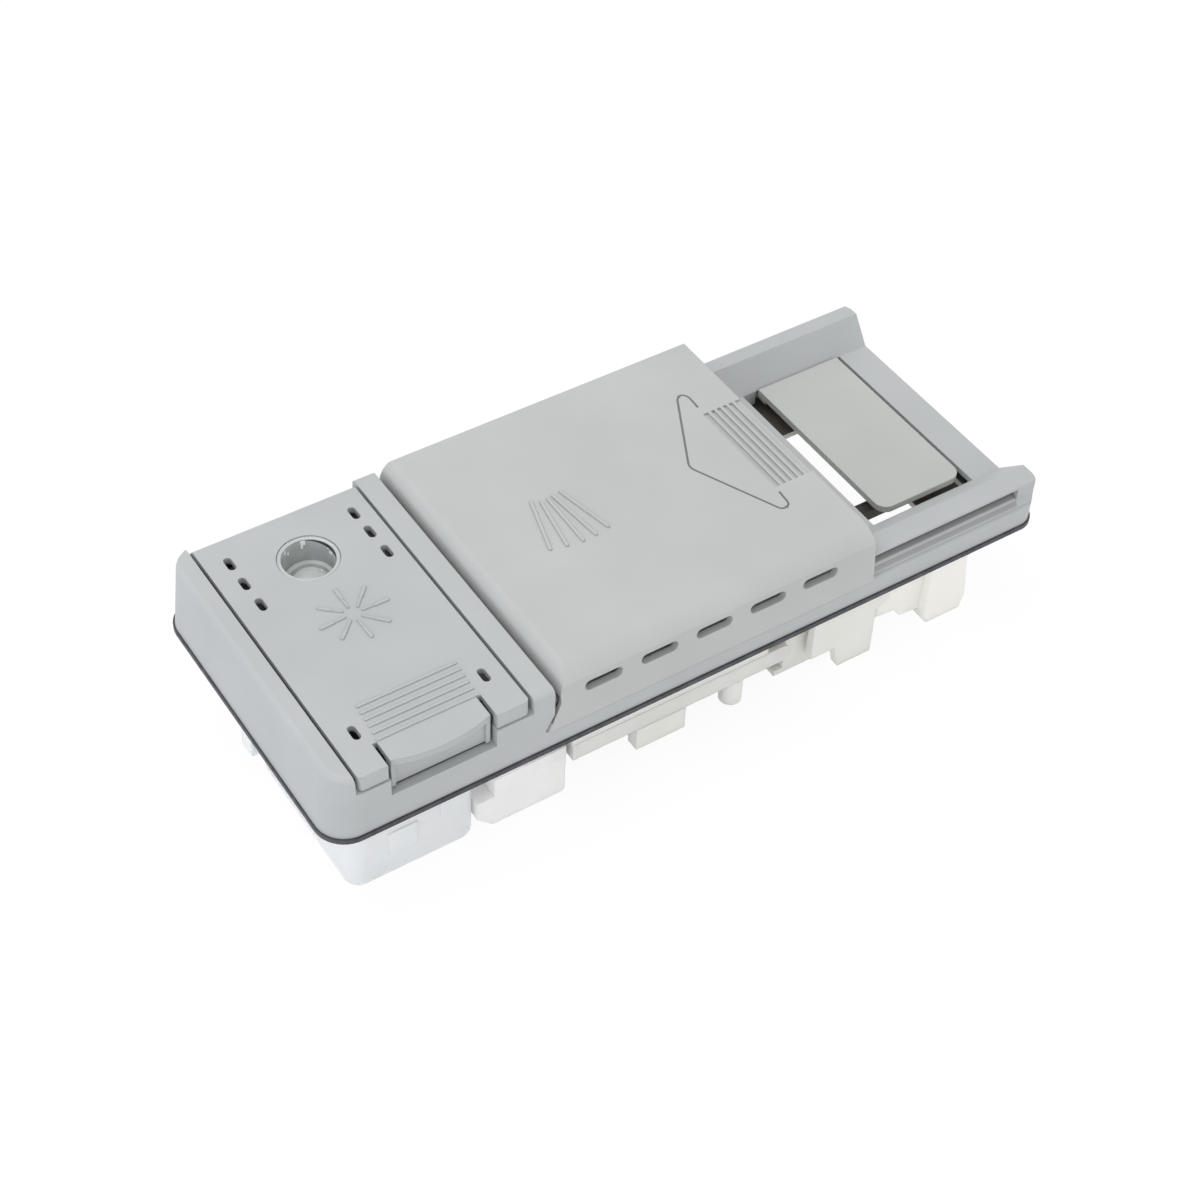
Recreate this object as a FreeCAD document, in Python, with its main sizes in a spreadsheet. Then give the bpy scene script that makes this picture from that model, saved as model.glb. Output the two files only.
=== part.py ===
import FreeCAD, Part
import math
import os
import re
import Sketcher

# Detergent dispenser of a dishwasher door, lying on its back.
# X runs along the length, rinse aid end at -X. Y runs across. Z points out of the door.
# The origin is under the middle of the part, at the level of its lowest face.
# Heights over the door sheet are written as "seat + height".

Vector = FreeCAD.Vector
Rotation = FreeCAD.Rotation
Placement = FreeCAD.Placement

# Driving dimensions, millimetres and degrees. A text is a formula that ties a size to others.
SIZES = [
    # Bezel
    ("seat", 34.0),
    ("half_len", 121.0),
    ("half_wid", 50.2),
    ("skin", 2.2),
    ("left_radius", 9.0),
    ("right_radius", 6.0),
    ("left_draft", 2.7),
    ("rinse_top", 22.3),
    ("edge_radius", 2.0),
    ("strip_right", -52.0),
    ("band_top", 6.7),
    ("deck_top", 14.1),
    ("floor_top", 5.4),
    ("floor_thick", 2.0),
    ("deck_end", 18.0),
    ("rail_in", 2.6),
    ("rail_edge", "half_wid - rail_in"),
    ("lip", 1.0),
    ("groove_low", 10.9),
    ("groove_deep", 3.0),
    ("groove_y", "rail_edge - groove_deep"),
    ("channel_low", 7.0),
    ("crest_in", 4.0),
    ("slope_run", 9.3),
    ("near_crest", "groove_y - crest_in"),
    ("near_foot", "near_crest - slope_run"),
    ("far_crest", "groove_y - crest_in / 2 - 0.2"),
    ("far_foot", "far_crest - slope_run + 2.9"),
    ("stop_in", 7.6),
    ("stop_x", "half_len - stop_in"),
    ("vent_left", 72.4),
    ("vent_right", "stop_x - 2.9"),
    # General clearances
    ("gap", 0.3),
    ("pin_play", 0.05),
    # Rinse aid lid and its recess
    ("strip_wide", 8.4),
    ("strip_rib", 6.7),
    ("recess_left", "strip_wide - half_len"),
    ("recess_right", "strip_right - strip_rib"),
    ("recess_floor", 8.0),
    ("side_gap", 1.0),
    ("rinse_thick", 2.2),
    ("barrel_in", 5.1),
    ("barrel_y", "half_wid - barrel_in"),
    ("barrel_radius", 3.6),
    ("hinge_pin_radius", 1.25),
    ("leg_low", 17.0),
    ("leg_near", "half_wid - 0.5"),
    ("leg_wide", 11.1),
    ("tab_left", "recess_left + leg_wide"),
    ("tab_right", "recess_right - leg_wide - 1.5"),
    ("tab_low", 11.4),
    ("tab_bulge", "half_wid + 0.8"),
    ("tab_face", "half_wid - 2.6"),
    ("slit", 1.4),
    ("ridge_left", "tab_left + 1.2"),
    ("ridge_right", "tab_right + 1.8"),
    ("ridge_first", 27.3),
    ("ridge_pitch", 2.55),
    ("ridge_wide", 0.9),
    ("ridge_high", 0.35),
    ("tab_root", "ridge_first + 5 * ridge_pitch + ridge_wide + 0.1"),
    ("hole_long", 5.2),
    ("hole_wide", 2.4),
    # Sight glass and filler neck
    ("glass_x", "(recess_left + recess_right) / 2 + 0.85"),
    ("glass_y", "barrel_y - 17.2"),
    ("glass_radius", 7.8),
    ("ring_radius", 9.2),
    ("glass_wall", 1.2),
    ("glass_deep", 12.0),
    ("neck_radius", 11.0),
    ("neck_wall", 1.6),
    ("neck_top", 9.6),
    ("cover_thick", 2.0),
    ("strainer_deep", 15.0),
    ("strainer_window", 9.0),
    # Dosing dial
    ("dial_x", "(recess_left + recess_right) / 2 + 0.65"),
    ("dial_y", -12.0),
    ("dial_radius", 11.0),
    ("dial_high", 2.4),
    ("dial_stem", 4.0),
    # Detergent chamber
    ("chamber_left", -44.0),
    ("chamber_right", 12.0),
    ("chamber_half", 34.0),
    ("chamber_deep", 29.0),
    ("chamber_draft", 3.0),
    ("chamber_radius", 10.0),
    ("cup_wall", 2.0),
    ("cup_floor_radius", 5.0),
    ("seal_wide", 3.0),
    ("seal_sunk", 1.0),
    ("seal_top", 17.2),
    # Sliding lid
    ("lid_left", "strip_right + 2"),
    ("lid_right", 57.0),
    ("lid_top", 24.8),
    ("lid_thick", 2.2),
    ("lid_over", 0.8),
    ("lid_near", "half_wid + lid_over"),
    ("lid_far_top", "rail_edge + 1.4"),
    ("lid_far_low", "half_wid + lid_over"),
    ("lid_low", "band_top + gap"),
    ("shoulder_y", "lid_near - 1.5"),
    ("shoulder_z", 21.0),
    ("crest_y", "lid_near - 8.5"),
    ("lid_edge", 1.2),
    ("lid_wall", 2.1),
    ("end_low", 17.5),
    ("end_round", 4.0),
    ("slant_top", 15.5),
    ("skirt_lead", 4.3),
    ("slot_first", "lid_left + 13.9"),
    ("slot_pitch", 18.35),
    ("slot_long", 12.2),
    ("slot_high", 3.4),
    ("slot_z", 17.6),
    ("rib_play", 0.4),
    ("grip_long", 13.5),
    ("grip_left", "lid_right - grip_long"),
    ("grip_half", 18.4),
    ("grip_deep", 0.7),
    ("grip_pitch", 2.2),
    ("grip_ridge", 1.0),
    # Lid spring, a long tension coil in the channel of the far rail
    ("coil_radius", 1.2),
    ("coil_y", "rail_edge - 1.2"),
    ("coil_z", "channel_low + 1.5"),
    # Release paddle
    ("paddle_left", "vent_left + 5.6"),
    ("paddle_right", "vent_right - 1.7"),
    ("paddle_near", "near_foot - 3"),
    ("paddle_top", 6.2),
    ("paddle_thick", 2.2),
    ("paddle_boss", 3.2),
    ("paddle_radius", 4.0),
    ("paddle_axis_y", "far_foot + 2.6"),
    ("paddle_axis_z", 2.9),
    ("paddle_barrel", 2.1),
    ("paddle_pin_radius", 1.0),
    # Release lever, latch and their pin
    ("lever_x", 31.0),
    ("lever_z", -1.6),
    ("lever_hub", 2.9),
    ("lever_pin_radius", 1.25),
    ("lever_end", "paddle_left + 8"),
    ("lever_near", 22.0),
    ("lever_bar", 4.0),
    ("lever_arm", 14.6),
    ("lever_bar_top", 0.4),
    ("latch_left", 52.8),
    ("latch_right", 64.5),
    ("latch_top", 9.2),
    ("latch_near", "lever_near - 1"),
    ("latch_far", -8.0),
    # Catch lug under the lid
    ("lug_play", 1.3),
    ("lug_thick", 2.6),
    ("lug_left", "latch_left - lug_play - lug_thick"),
    ("lug_low", "latch_top + gap"),
    # Solenoid
    ("plunger_x", 44.0),
    ("plunger_y", -13.0),
    ("plunger_radius", 3.5),
    ("neck_thin", 1.5),
    ("coil_outer", 8.2),
    ("coil_low", -27.4),
    ("coil_high", -11.6),
    ("yoke_thick", 1.6),
    # Rear housing
    ("plate_thick", 2.0),
    ("plate_in", 3.8),
    ("plate_half", "half_wid - plate_in"),
    ("plate_end", "half_len - 3.6"),
    ("skirt_y", "plate_half - 1.9"),
    ("skirt_wall", 1.8),
    ("skirt_low", -12.7),
    ("gasket_thick", 1.6),
    ("gasket_proud", 0.6),
    ("gasket_wide", 3.6),
    # Reservoir
    ("tank_in", 8.0),
    ("tank_left", "tank_in - half_len"),
    ("tank_right", "strip_right - 20.6"),
    ("tank_near", "half_wid - 6.6"),
    ("tank_step", 11.5),
    ("tank_wall", 1.8),
    ("tank_shallow", 20.0),
    ("tank_round", 4.0),
    ("port_z", 8.0),
    ("port_radius", 2.2),
    # Dosing rod and valve
    ("rod_right", "lever_x + 3.4"),
    ("rod_low", -19.4),
    ("rod_high", -13.0),
    ("rod_near", "skirt_y - 0.1"),
    ("rod_thick", 2.4),
    ("rod_slot_deep", 1.4),
    ("jog_x", -37.6),
    ("jog_thick", 4.0),
    ("stem_y", "6.2 - rod_near"),
    ("stem_end", -56.0),
    ("stem_radius", 2.0),
    ("valve_right", -43.6),
    ("valve_low", -32.0),
    # Screws, plug housing and float
    ("screw_radius", 1.4),
    ("screw_head", 3.0),
    ("screw_head_high", 1.8),
    ("boss_half", 2.7),
    ("plug_left", 70.0),
    ("socket_back", "plug_left + 18.5"),
    ("socket_low", 6.0),
    ("socket_pitch", 6.0),
    ("blade_seat", 6.0),
    ("blade_long", 7.5),
    ("tray_long", 16.5),
    ("shelf_left", "vent_left - 3.4"),
    ("shelf_near", 20.8),
    ("float_x", "tank_left + 16"),
    ("float_y", -22.0),
    ("float_radius", 7.0),
    ("float_post", 2.0),
]

NAMES = {name for name, size in SIZES}
WORD = re.compile(r"[a-z_][a-z_0-9]*")

doc = FreeCAD.newDocument("DetergentDispenser")
sheet = doc.addObject("Spreadsheet::Sheet", "Sizes")
for row, (name, size) in enumerate(SIZES, start=1):
    sheet.set(f"A{row}", name)
    sheet.set(f"B{row}", f"={size}" if isinstance(size, str) else str(size))
    sheet.setAlias(f"B{row}", name)
doc.recompute()


# Helpers

def bound(text):
    """Point each size name in an expression at the sheet."""
    def replace(match):
        word = match.group()
        return f"Sizes.{word}" if word in NAMES else word
    return WORD.sub(replace, str(text))


def value(text):
    """Work an expression out from the sheet's values."""
    return float(sheet.evalExpression(str(text)))


def place(piece, x=None, y=None, z=None):
    """Bind a piece's position."""
    for axis, text in (("x", x), ("y", y), ("z", z)):
        if text is not None:
            piece.setExpression(f"Placement.Base.{axis}", bound(text))


def rect(left, right, low, high, radius=None):
    """Corners of a rectangle, rounded if a radius is given."""
    return [(left, low, radius), (right, low, radius), (right, high, radius), (left, high, radius)]


def bevelled(left, right, low, high, bevel):
    """Corners of a rectangle whose own corners are cut off straight."""
    return [(f"{left} + {bevel}", low), (f"{right} - ({bevel})", low),
            (right, f"{low} + {bevel}"), (right, f"{high} - ({bevel})"),
            (f"{right} - ({bevel})", high), (f"{left} + {bevel}", high),
            (left, f"{high} - ({bevel})"), (left, f"{low} + {bevel}")]


def circle(x, y, radius):
    return {"x": x, "y": y, "radius": radius}


def slot(x1, y1, x2, y2, radius):
    return {"x": x1, "y": y1, "x2": x2, "y2": y2, "radius": radius}


def pin_point(sketch, geometry, position, x, y):
    """Bind a point of a sketch to two expressions."""
    for kind, text in (("DistanceX", x), ("DistanceY", y)):
        index = sketch.addConstraint(Sketcher.Constraint(kind, -1, 1, geometry, position, value(text)))
        sketch.setExpression(f"Constraints[{index}]", bound(text))


def bind_radius(sketch, geometry, radius):
    index = sketch.addConstraint(Sketcher.Constraint("Radius", geometry, value(radius)))
    sketch.setExpression(f"Constraints[{index}]", bound(radius))


def draw_circle(sketch, shape):
    centre = Vector(value(shape["x"]), value(shape["y"]), 0)
    ring = sketch.addGeometry(Part.Circle(centre, Vector(0, 0, 1), value(shape["radius"])), False)
    pin_point(sketch, ring, 3, shape["x"], shape["y"])
    bind_radius(sketch, ring, shape["radius"])


def draw_slot(sketch, shape):
    """An oblong hole between two centres."""
    one = Vector(value(shape["x"]), value(shape["y"]), 0)
    two = Vector(value(shape["x2"]), value(shape["y2"]), 0)
    size = value(shape["radius"])
    turn = math.atan2(two.y - one.y, two.x - one.x)
    side = Vector(-math.sin(turn), math.cos(turn), 0) * size
    up = Vector(0, 0, 1)
    quarter = math.pi / 2
    first = sketch.addGeometry([
        Part.ArcOfCircle(Part.Circle(one, up, size), turn + quarter, turn + 3 * quarter),
        Part.LineSegment(one - side, two - side),
        Part.ArcOfCircle(Part.Circle(two, up, size), turn - quarter, turn + quarter),
        Part.LineSegment(two + side, one + side),
    ], False)[0]
    sketch.addConstraint([
        Sketcher.Constraint("Tangent", first, 2, first + 1, 1),
        Sketcher.Constraint("Tangent", first + 1, 2, first + 2, 1),
        Sketcher.Constraint("Tangent", first + 2, 2, first + 3, 1),
        Sketcher.Constraint("Tangent", first + 3, 2, first, 1),
        Sketcher.Constraint("Equal", first, first + 2),
    ])
    pin_point(sketch, first, 3, shape["x"], shape["y"])
    pin_point(sketch, first + 2, 3, shape["x2"], shape["y2"])
    bind_radius(sketch, first, shape["radius"])


def arc_through(start, middle, end):
    """Counterclockwise arc through three points, and whether it runs from start to end."""
    curve = Part.Arc(start, middle, end).toShape().Curve
    centre = curve.Center
    forward = (middle - start).cross(end - middle).z > 0
    first, last = (start, end) if forward else (end, start)
    angles = [math.atan2(point.y - centre.y, point.x - centre.x) for point in (first, last)]
    ring = Part.Circle(centre, Vector(0, 0, 1), curve.Radius)
    return Part.ArcOfCircle(ring, angles[0], angles[1]), forward


def draw_outline(sketch, corners):
    """A closed outline. A corner is (x, y) or (x, y, radius); (x, y, "via") bows a side."""
    nodes = [corner for corner in corners if corner[-1] != "via"]
    via = {}
    count = -1
    for corner in corners:
        if corner[-1] == "via":
            via[count] = corner
        else:
            count += 1
    total = len(nodes)
    points = [Vector(value(node[0]), value(node[1]), 0) for node in nodes]
    radii = [node[2] if len(node) > 2 else None for node in nodes]
    enter = list(points)
    leave = list(points)
    for i in range(total):
        if radii[i] is None:
            continue
        back = (points[i - 1] - points[i]).normalize()
        ahead = (points[(i + 1) % total] - points[i]).normalize()
        reach = value(radii[i]) / math.tan(back.getAngle(ahead) / 2)
        enter[i] = points[i] + back * reach
        leave[i] = points[i] + ahead * reach
    sides = []
    for i in range(total):
        after = (i + 1) % total
        if i in via:
            middle = Vector(value(via[i][0]), value(via[i][1]), 0)
            curve, forward = arc_through(leave[i], middle, enter[after])
        else:
            curve, forward = Part.LineSegment(leave[i], enter[after]), True
        sides.append((sketch.addGeometry(curve, False), 1 if forward else 2, 2 if forward else 1))
    for i in range(total):
        before, here = sides[i - 1], sides[i]
        if radii[i] is None:
            sketch.addConstraint(Sketcher.Constraint("Coincident", before[0], before[2], here[0], here[1]))
            pin_point(sketch, here[0], here[1], nodes[i][0], nodes[i][1])
            continue
        inward = (leave[i] - points[i]) + (enter[i] - points[i])
        size = value(radii[i])
        half = (enter[i] - points[i]).getAngle(inward)
        centre = points[i] + inward.normalize() * (size / math.sin(half))
        left_turn = (points[i] - enter[i]).cross(leave[i] - points[i]).z > 0
        first, last = (enter[i], leave[i]) if left_turn else (leave[i], enter[i])
        angles = [math.atan2(point.y - centre.y, point.x - centre.x) for point in (first, last)]
        ring = Part.Circle(centre, Vector(0, 0, 1), size)
        arc = sketch.addGeometry(Part.ArcOfCircle(ring, angles[0], angles[1]), False)
        vertex = sketch.addGeometry(Part.Point(points[i]), True)
        start, end = (1, 2) if left_turn else (2, 1)
        sketch.addConstraint([
            Sketcher.Constraint("Tangent", before[0], before[2], arc, start),
            Sketcher.Constraint("Tangent", arc, end, here[0], here[1]),
            Sketcher.Constraint("PointOnObject", vertex, 1, before[0]),
            Sketcher.Constraint("PointOnObject", vertex, 1, here[0]),
        ])
        bind_radius(sketch, arc, radii[i])
        pin_point(sketch, vertex, 1, nodes[i][0], nodes[i][1])
    for i, middle in via.items():
        spot = sketch.addGeometry(Part.Point(Vector(value(middle[0]), value(middle[1]), 0)), True)
        sketch.addConstraint(Sketcher.Constraint("PointOnObject", spot, 1, sides[i][0]))
        pin_point(sketch, spot, 1, middle[0], middle[1])


def make_sketch(body, plane, level, shapes):
    """Sketch on one of the body's origin planes, moved along the row axis to a level."""
    sketch = body.newObject("Sketcher::SketchObject", f"{body.Name}_sketch")
    support = [item for item in body.Origin.OriginFeatures if item.Role == plane][0]
    sketch.AttachmentSupport = [(support, "")]
    sketch.MapMode = "FlatFace"
    sign = "-1" if plane == "XZ_Plane" else "1"
    sketch.setExpression("AttachmentOffset.Base.z", bound(f"({sign}) * ({level})"))
    for shape in shapes:
        if isinstance(shape, list):
            draw_outline(sketch, shape)
        elif "x2" in shape:
            draw_slot(sketch, shape)
        else:
            draw_circle(sketch, shape)
    return sketch


def new_body(label):
    body = doc.addObject("PartDesign::Body", label)
    body.Label = label
    return body


def pad(body, plane, low, high, *shapes):
    """Add material between two levels along the plane's row axis."""
    level = high if plane == "XZ_Plane" else low
    sketch = make_sketch(body, plane, level, shapes)
    feature = body.newObject("PartDesign::Pad", f"{body.Name}_pad")
    feature.Profile = sketch
    feature.setExpression("Length", bound(f"({high}) - ({low})"))
    return feature


def pocket(body, plane, low, high, *shapes):
    """Take material away between two levels along the plane's row axis."""
    level = low if plane == "XZ_Plane" else high
    sketch = make_sketch(body, plane, level, shapes)
    feature = body.newObject("PartDesign::Pocket", f"{body.Name}_pocket")
    feature.Profile = sketch
    feature.setExpression("Length", bound(f"({high}) - ({low})"))
    return feature


def loft(body, kind, low, low_shape, high, high_shape):
    """Add or take away a drafted block between two outlines."""
    feature = body.newObject(f"PartDesign::{kind}Loft", f"{body.Name}_loft")
    feature.Profile = make_sketch(body, "XY_Plane", low, [low_shape])
    feature.Sections = [make_sketch(body, "XY_Plane", high, [high_shape])]
    feature.Ruled = True
    return feature


def round_edges(body, radius, test):
    """Fillet the edges of the body's last feature that a test picks."""
    doc.recompute()
    last = body.Tip
    names = [f"Edge{i}" for i, edge in enumerate(last.Shape.Edges, start=1) if test(edge)]
    feature = body.newObject("PartDesign::Fillet", f"{body.Name}_fillet")
    feature.Base = (last, names)
    feature.setExpression("Radius", bound(radius))
    return feature


def near(a, b, tolerance=0.05):
    return abs(a - b) < tolerance


def flat_at(edge, level):
    """True for an edge that lies wholly at a level."""
    box = edge.BoundBox
    return near(box.ZMin, level) and near(box.ZMax, level)


def box(label, x, y, z):
    """A block from low to high along each axis."""
    piece = doc.addObject("Part::Box", label)
    piece.Label = label
    for side, (low, high) in (("Length", x), ("Width", y), ("Height", z)):
        piece.setExpression(side, bound(f"({high}) - ({low})"))
    place(piece, x[0], y[0], z[0])
    return piece


AXIS_TURN = {
    "x": Rotation(Vector(0, 1, 0), 90),
    "y": Rotation(Vector(1, 0, 0), -90),
    "z": Rotation(),
}


def rod(label, axis, radius, x, y, z, length):
    """A cylinder that starts at a point and runs along an axis."""
    piece = doc.addObject("Part::Cylinder", label)
    piece.Label = label
    piece.setExpression("Radius", bound(radius))
    piece.setExpression("Height", bound(length))
    piece.Placement = Placement(Vector(), AXIS_TURN[axis])
    place(piece, x, y, z)
    return piece


def fuse(label, *pieces):
    piece = doc.addObject("Part::MultiFuse", label)
    piece.Label = label
    piece.Shapes = list(pieces)
    return piece


def cut(label, base, *tools):
    piece = doc.addObject("Part::Cut", label)
    piece.Label = label
    piece.Base = base
    piece.Tool = tools[0] if len(tools) == 1 else fuse(f"{label}_tools", *tools)
    return piece


# Front bezel

def right_end_corner(side):
    """The material outside a rounded plan corner at the right end; side is "" or "-"."""
    corner = f"{side}(half_wid - right_radius)"
    bow_x = "half_len - right_radius + right_radius * cos(45)"
    bow_y = f"{side}(half_wid - right_radius + right_radius * sin(45))"
    outside = f"{side}(half_wid + 2)"
    return [
        ("half_len", corner), (bow_x, bow_y, "via"),
        ("half_len - right_radius", f"{side}(half_wid)"),
        ("half_len - right_radius", outside), ("half_len + 2", outside), ("half_len + 2", corner),
    ]


def rail_profile():
    """Section across the deck: lower band, guide groove and lip on both sides."""
    band = "seat + band_top"
    lip_low = "seat + deck_top - lip"
    near_side = [
        ("-half_wid", "seat"), ("-half_wid", band, "1.5"), ("-rail_edge - 1.2", band),
        ("-groove_y - 1.4", "seat + groove_low", "2"),
        ("-groove_y", "seat + groove_low"), ("-groove_y", lip_low),
        ("-rail_edge", lip_low), ("-rail_edge", "seat + deck_top", "0.4"),
    ]
    far_side = [
        ("rail_edge", "seat + deck_top", "0.4"), ("rail_edge", lip_low),
        ("groove_y", lip_low), ("groove_y", "seat + groove_low"),
        ("rail_edge", "seat + groove_low"), ("rail_edge", "seat + groove_low - 1"),
        ("groove_y", "seat + groove_low - 1"), ("groove_y", "seat + channel_low"),
        ("rail_edge + 1", "seat + channel_low"), ("rail_edge + 1", band),
        ("half_wid", band, "0.8"), ("half_wid", "seat"),
    ]
    return near_side + far_side


def chamber_outline(grow, shrink):
    """Plan of the detergent chamber, grown by a wall and shrunk by its draft."""
    step = f"({grow}) - ({shrink})"
    return rect(f"chamber_left - ({step})", f"chamber_right + {step}",
                f"-chamber_half - ({step})", f"chamber_half + {step}", f"chamber_radius + {step}")


def bezel_shell():
    """Outer form of the bezel, hollow from behind."""
    body = new_body("bezel_shell")
    top = "seat + rinse_top"
    side_view = [("-half_len", "seat"), ("strip_right", "seat"), ("strip_right", top),
                 ("-half_len + left_draft", top)]
    pad(body, "XZ_Plane", "-half_wid", "half_wid", side_view)
    left = value("-half_len + left_draft")
    round_edges(body, "left_radius",
                lambda edge: edge.BoundBox.XMax < left + 0.1 and edge.BoundBox.ZLength > 10)
    level = value(top)
    strip = value("strip_right")
    round_edges(body, "edge_radius", lambda edge: flat_at(edge, level) and edge.BoundBox.XMin < strip - 0.1)
    pad(body, "YZ_Plane", "strip_right - 1", "half_len", rail_profile())
    for side in ("", "-"):
        fill = [("stop_x", f"{side}(groove_y - 0.5)"), ("half_len", f"{side}(groove_y - 0.5)"),
                ("half_len", f"{side}rail_edge"), ("stop_x", f"{side}rail_edge")]
        pad(body, "XY_Plane", "seat + band_top - 0.5", "seat + deck_top - 0.5", fill)
    trough = [("-near_foot", "seat + floor_top"), ("far_foot", "seat + floor_top"),
              ("far_crest", "seat + deck_top"), ("far_crest", "seat + deck_top + 5"),
              ("-near_crest", "seat + deck_top + 5"), ("-near_crest", "seat + deck_top")]
    pocket(body, "YZ_Plane", "deck_end", "half_len + 1", trough)
    for side in ("", "-"):
        pocket(body, "XY_Plane", "seat - 1", top, right_end_corner(side))
    return body


def hollow_bezel(body):
    """Hollows of the bezel's rear side, between its walls."""
    inner = "half_wid - skin"
    under_floor = "seat + floor_top - floor_thick"
    pocket(body, "XY_Plane", "seat", under_floor,
           bevelled("-half_len + skin", "half_len - skin", f"-({inner})", inner, "left_radius / 2"))
    pocket(body, "XY_Plane", under_floor, "seat + recess_floor - floor_thick",
           bevelled("-half_len + skin", "strip_right - skin", f"-({inner})", inner, "left_radius / 2"))
    pocket(body, "XY_Plane", under_floor, "seat + deck_top - skin",
           rect("strip_right + 0.4", "deck_end - skin", "-groove_y + skin", "groove_y - skin"))
    near_rail = [("-groove_y + skin", under_floor), ("-near_foot - 1.2", under_floor),
                 ("-near_crest - 0.8", "seat + deck_top - skin"),
                 ("-groove_y + skin", "seat + deck_top - skin")]
    pocket(body, "YZ_Plane", "deck_end + 1", "half_len - skin", near_rail)
    strip_top = "seat + rinse_top - skin"
    strip_low = "seat + recess_floor - floor_thick"
    pocket(body, "XY_Plane", strip_low, strip_top,
           rect("-half_len + left_draft + skin", "recess_left - 1.8", "-half_wid + 6", "half_wid - 6"))
    pocket(body, "XY_Plane", strip_low, strip_top,
           rect("recess_right + 1.6", "strip_right - 1.6", "-half_wid + 4", "half_wid - 4"))


def rinse_recess(body):
    """Recess under the rinse aid lid, with lowered near and far walls."""
    above = "seat + rinse_top + 1"
    pocket(body, "XY_Plane", "seat + recess_floor", above,
           rect("recess_left", "recess_right", "-tab_face + 0.3", "barrel_y + barrel_radius + gap"))
    pocket(body, "XY_Plane", "seat + rinse_top - barrel_radius - 0.3", above,
           rect("recess_left", "recess_right", "barrel_y", "half_wid + 1"))
    pocket(body, "XY_Plane", "seat + leg_low - gap", above,
           rect("recess_left", "recess_right", "-half_wid - 1", "-tab_face + 1"))
    pocket(body, "XY_Plane", "seat + tab_low - 0.8", above,
           rect("tab_left - 1", "tab_right + 1", "-half_wid - 1", "-tab_face + 1"))
    pocket(body, "YZ_Plane", "recess_left - 2.2", "recess_right + 2.2",
           circle("barrel_y", "seat + rinse_top - barrel_radius", "hinge_pin_radius"))
    pocket(body, "XY_Plane", "seat", "seat + recess_floor",
           circle("glass_x", "glass_y", "neck_radius + neck_wall + gap"),
           circle("dial_x", "dial_y", "dial_stem + 1.6 + gap"))


def chamber_cup(body):
    """Drafted cup that takes the detergent, with the seat of its seal."""
    deck = "seat + deck_top"
    loft(body, "Additive", f"{deck} - chamber_deep - cup_wall", chamber_outline("cup_wall", "chamber_draft"),
         f"{deck} - 1", chamber_outline("cup_wall", "0"))
    loft(body, "Subtractive", f"{deck} - chamber_deep", chamber_outline("0", "chamber_draft"),
         deck, chamber_outline("0", "0"))
    low = value(f"{deck} - chamber_deep")
    half = value("chamber_half")
    round_edges(body, "cup_floor_radius",
                lambda edge: flat_at(edge, low) and abs(edge.CenterOfMass.y) < half)
    pocket(body, "XY_Plane", f"{deck} - seal_sunk", f"{deck} + 1",
           chamber_outline("1.2 + seal_wide", "0"), chamber_outline("1.2", "0"))


def bezel_openings(body):
    """Openings and pin seats of the right section."""
    floor = "seat + floor_top"
    left_boss = rect("paddle_left - 4", "paddle_left - 0.5", "far_foot", "paddle_axis_y + 3")
    right_boss = rect("paddle_right + 0.5", "paddle_right + 4", "far_foot", "paddle_axis_y + 3")
    pad(body, "XY_Plane", "seat + 0.2", floor, left_boss, right_boss)
    ear_low = "seat + lever_z - 2.4"
    pad(body, "XY_Plane", ear_low, "seat + deck_top - skin + 0.2",
        rect("lever_x - 3.4", "lever_x + 3.4", "-near_crest - 2", "-near_crest - 0.2"))
    pad(body, "XY_Plane", ear_low, f"{floor} - 1",
        rect("lever_x - 3.4", "lever_x + 3.4", "-17", "-14.8"))
    pocket(body, "XY_Plane", "seat - 1", f"{floor} + 1",
           rect("vent_left", "vent_right", "-near_foot", "far_foot"))
    pocket(body, "XY_Plane", "seat", "seat + paddle_axis_z + paddle_barrel + 0.2",
           rect("paddle_left - 0.5", "paddle_right + 0.5", "far_foot - 1",
                "paddle_axis_y + paddle_barrel + gap"))
    pocket(body, "XY_Plane", f"{floor} - floor_thick - 1", f"{floor} + 1",
           rect("latch_left - 0.9", "latch_right + 1.8", "-latch_near - 0.5", "latch_far + 0.5"))
    pocket(body, "YZ_Plane", "paddle_left - 3.5", "paddle_right + 3.5",
           circle("paddle_axis_y", "seat + paddle_axis_z", "paddle_pin_radius"))
    pocket(body, "XZ_Plane", "-near_crest - 2.5", "-14",
           circle("lever_x", "seat + lever_z", "lever_pin_radius"))


SCREWS = [("strip_right - 5", "far_foot"), ("strip_right - 5", "-16"), ("deck_end - 0.25", "skirt_y - 5.5"),
          ("deck_end - 0.25", "-chamber_half"), ("stop_x + 0.4", "30"), ("stop_x + 0.4", "-30")]


def screw_bosses(body):
    """Bosses for the rear housing's screws; those at the strip reach up to the recess floor."""
    bosses = [bevelled(f"{x} - boss_half", f"{x} + boss_half", f"{y} - boss_half", f"{y} + boss_half",
                       "boss_half / 2")
              for x, y in SCREWS]
    pad(body, "XY_Plane", "seat", "seat + recess_floor - floor_thick + 0.5", *bosses[:2])
    pad(body, "XY_Plane", "seat", "seat + floor_top - floor_thick + 0.5", *bosses[2:])
    pocket(body, "XY_Plane", "seat - 1", "seat + floor_top - floor_thick - 0.4",
           *[circle(x, y, "screw_radius") for x, y in SCREWS])


def skirt_notch(body):
    """Slanted notches that take the lower corners of the lid's skirts."""
    left = "lid_left - skirt_lead - 0.6"
    right = "strip_right + 1.5"
    rise = f"({right} - ({left})) * (slant_top - lid_low) / skirt_lead"
    notch = [(left, "seat + band_top"), (right, "seat + band_top"), (right, f"seat + band_top + {rise}")]
    pocket(body, "XZ_Plane", "-half_wid - 1", "-rail_edge - 0.6", notch)
    pocket(body, "XZ_Plane", "rail_edge + 0.2", "half_wid + 1", notch)


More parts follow.
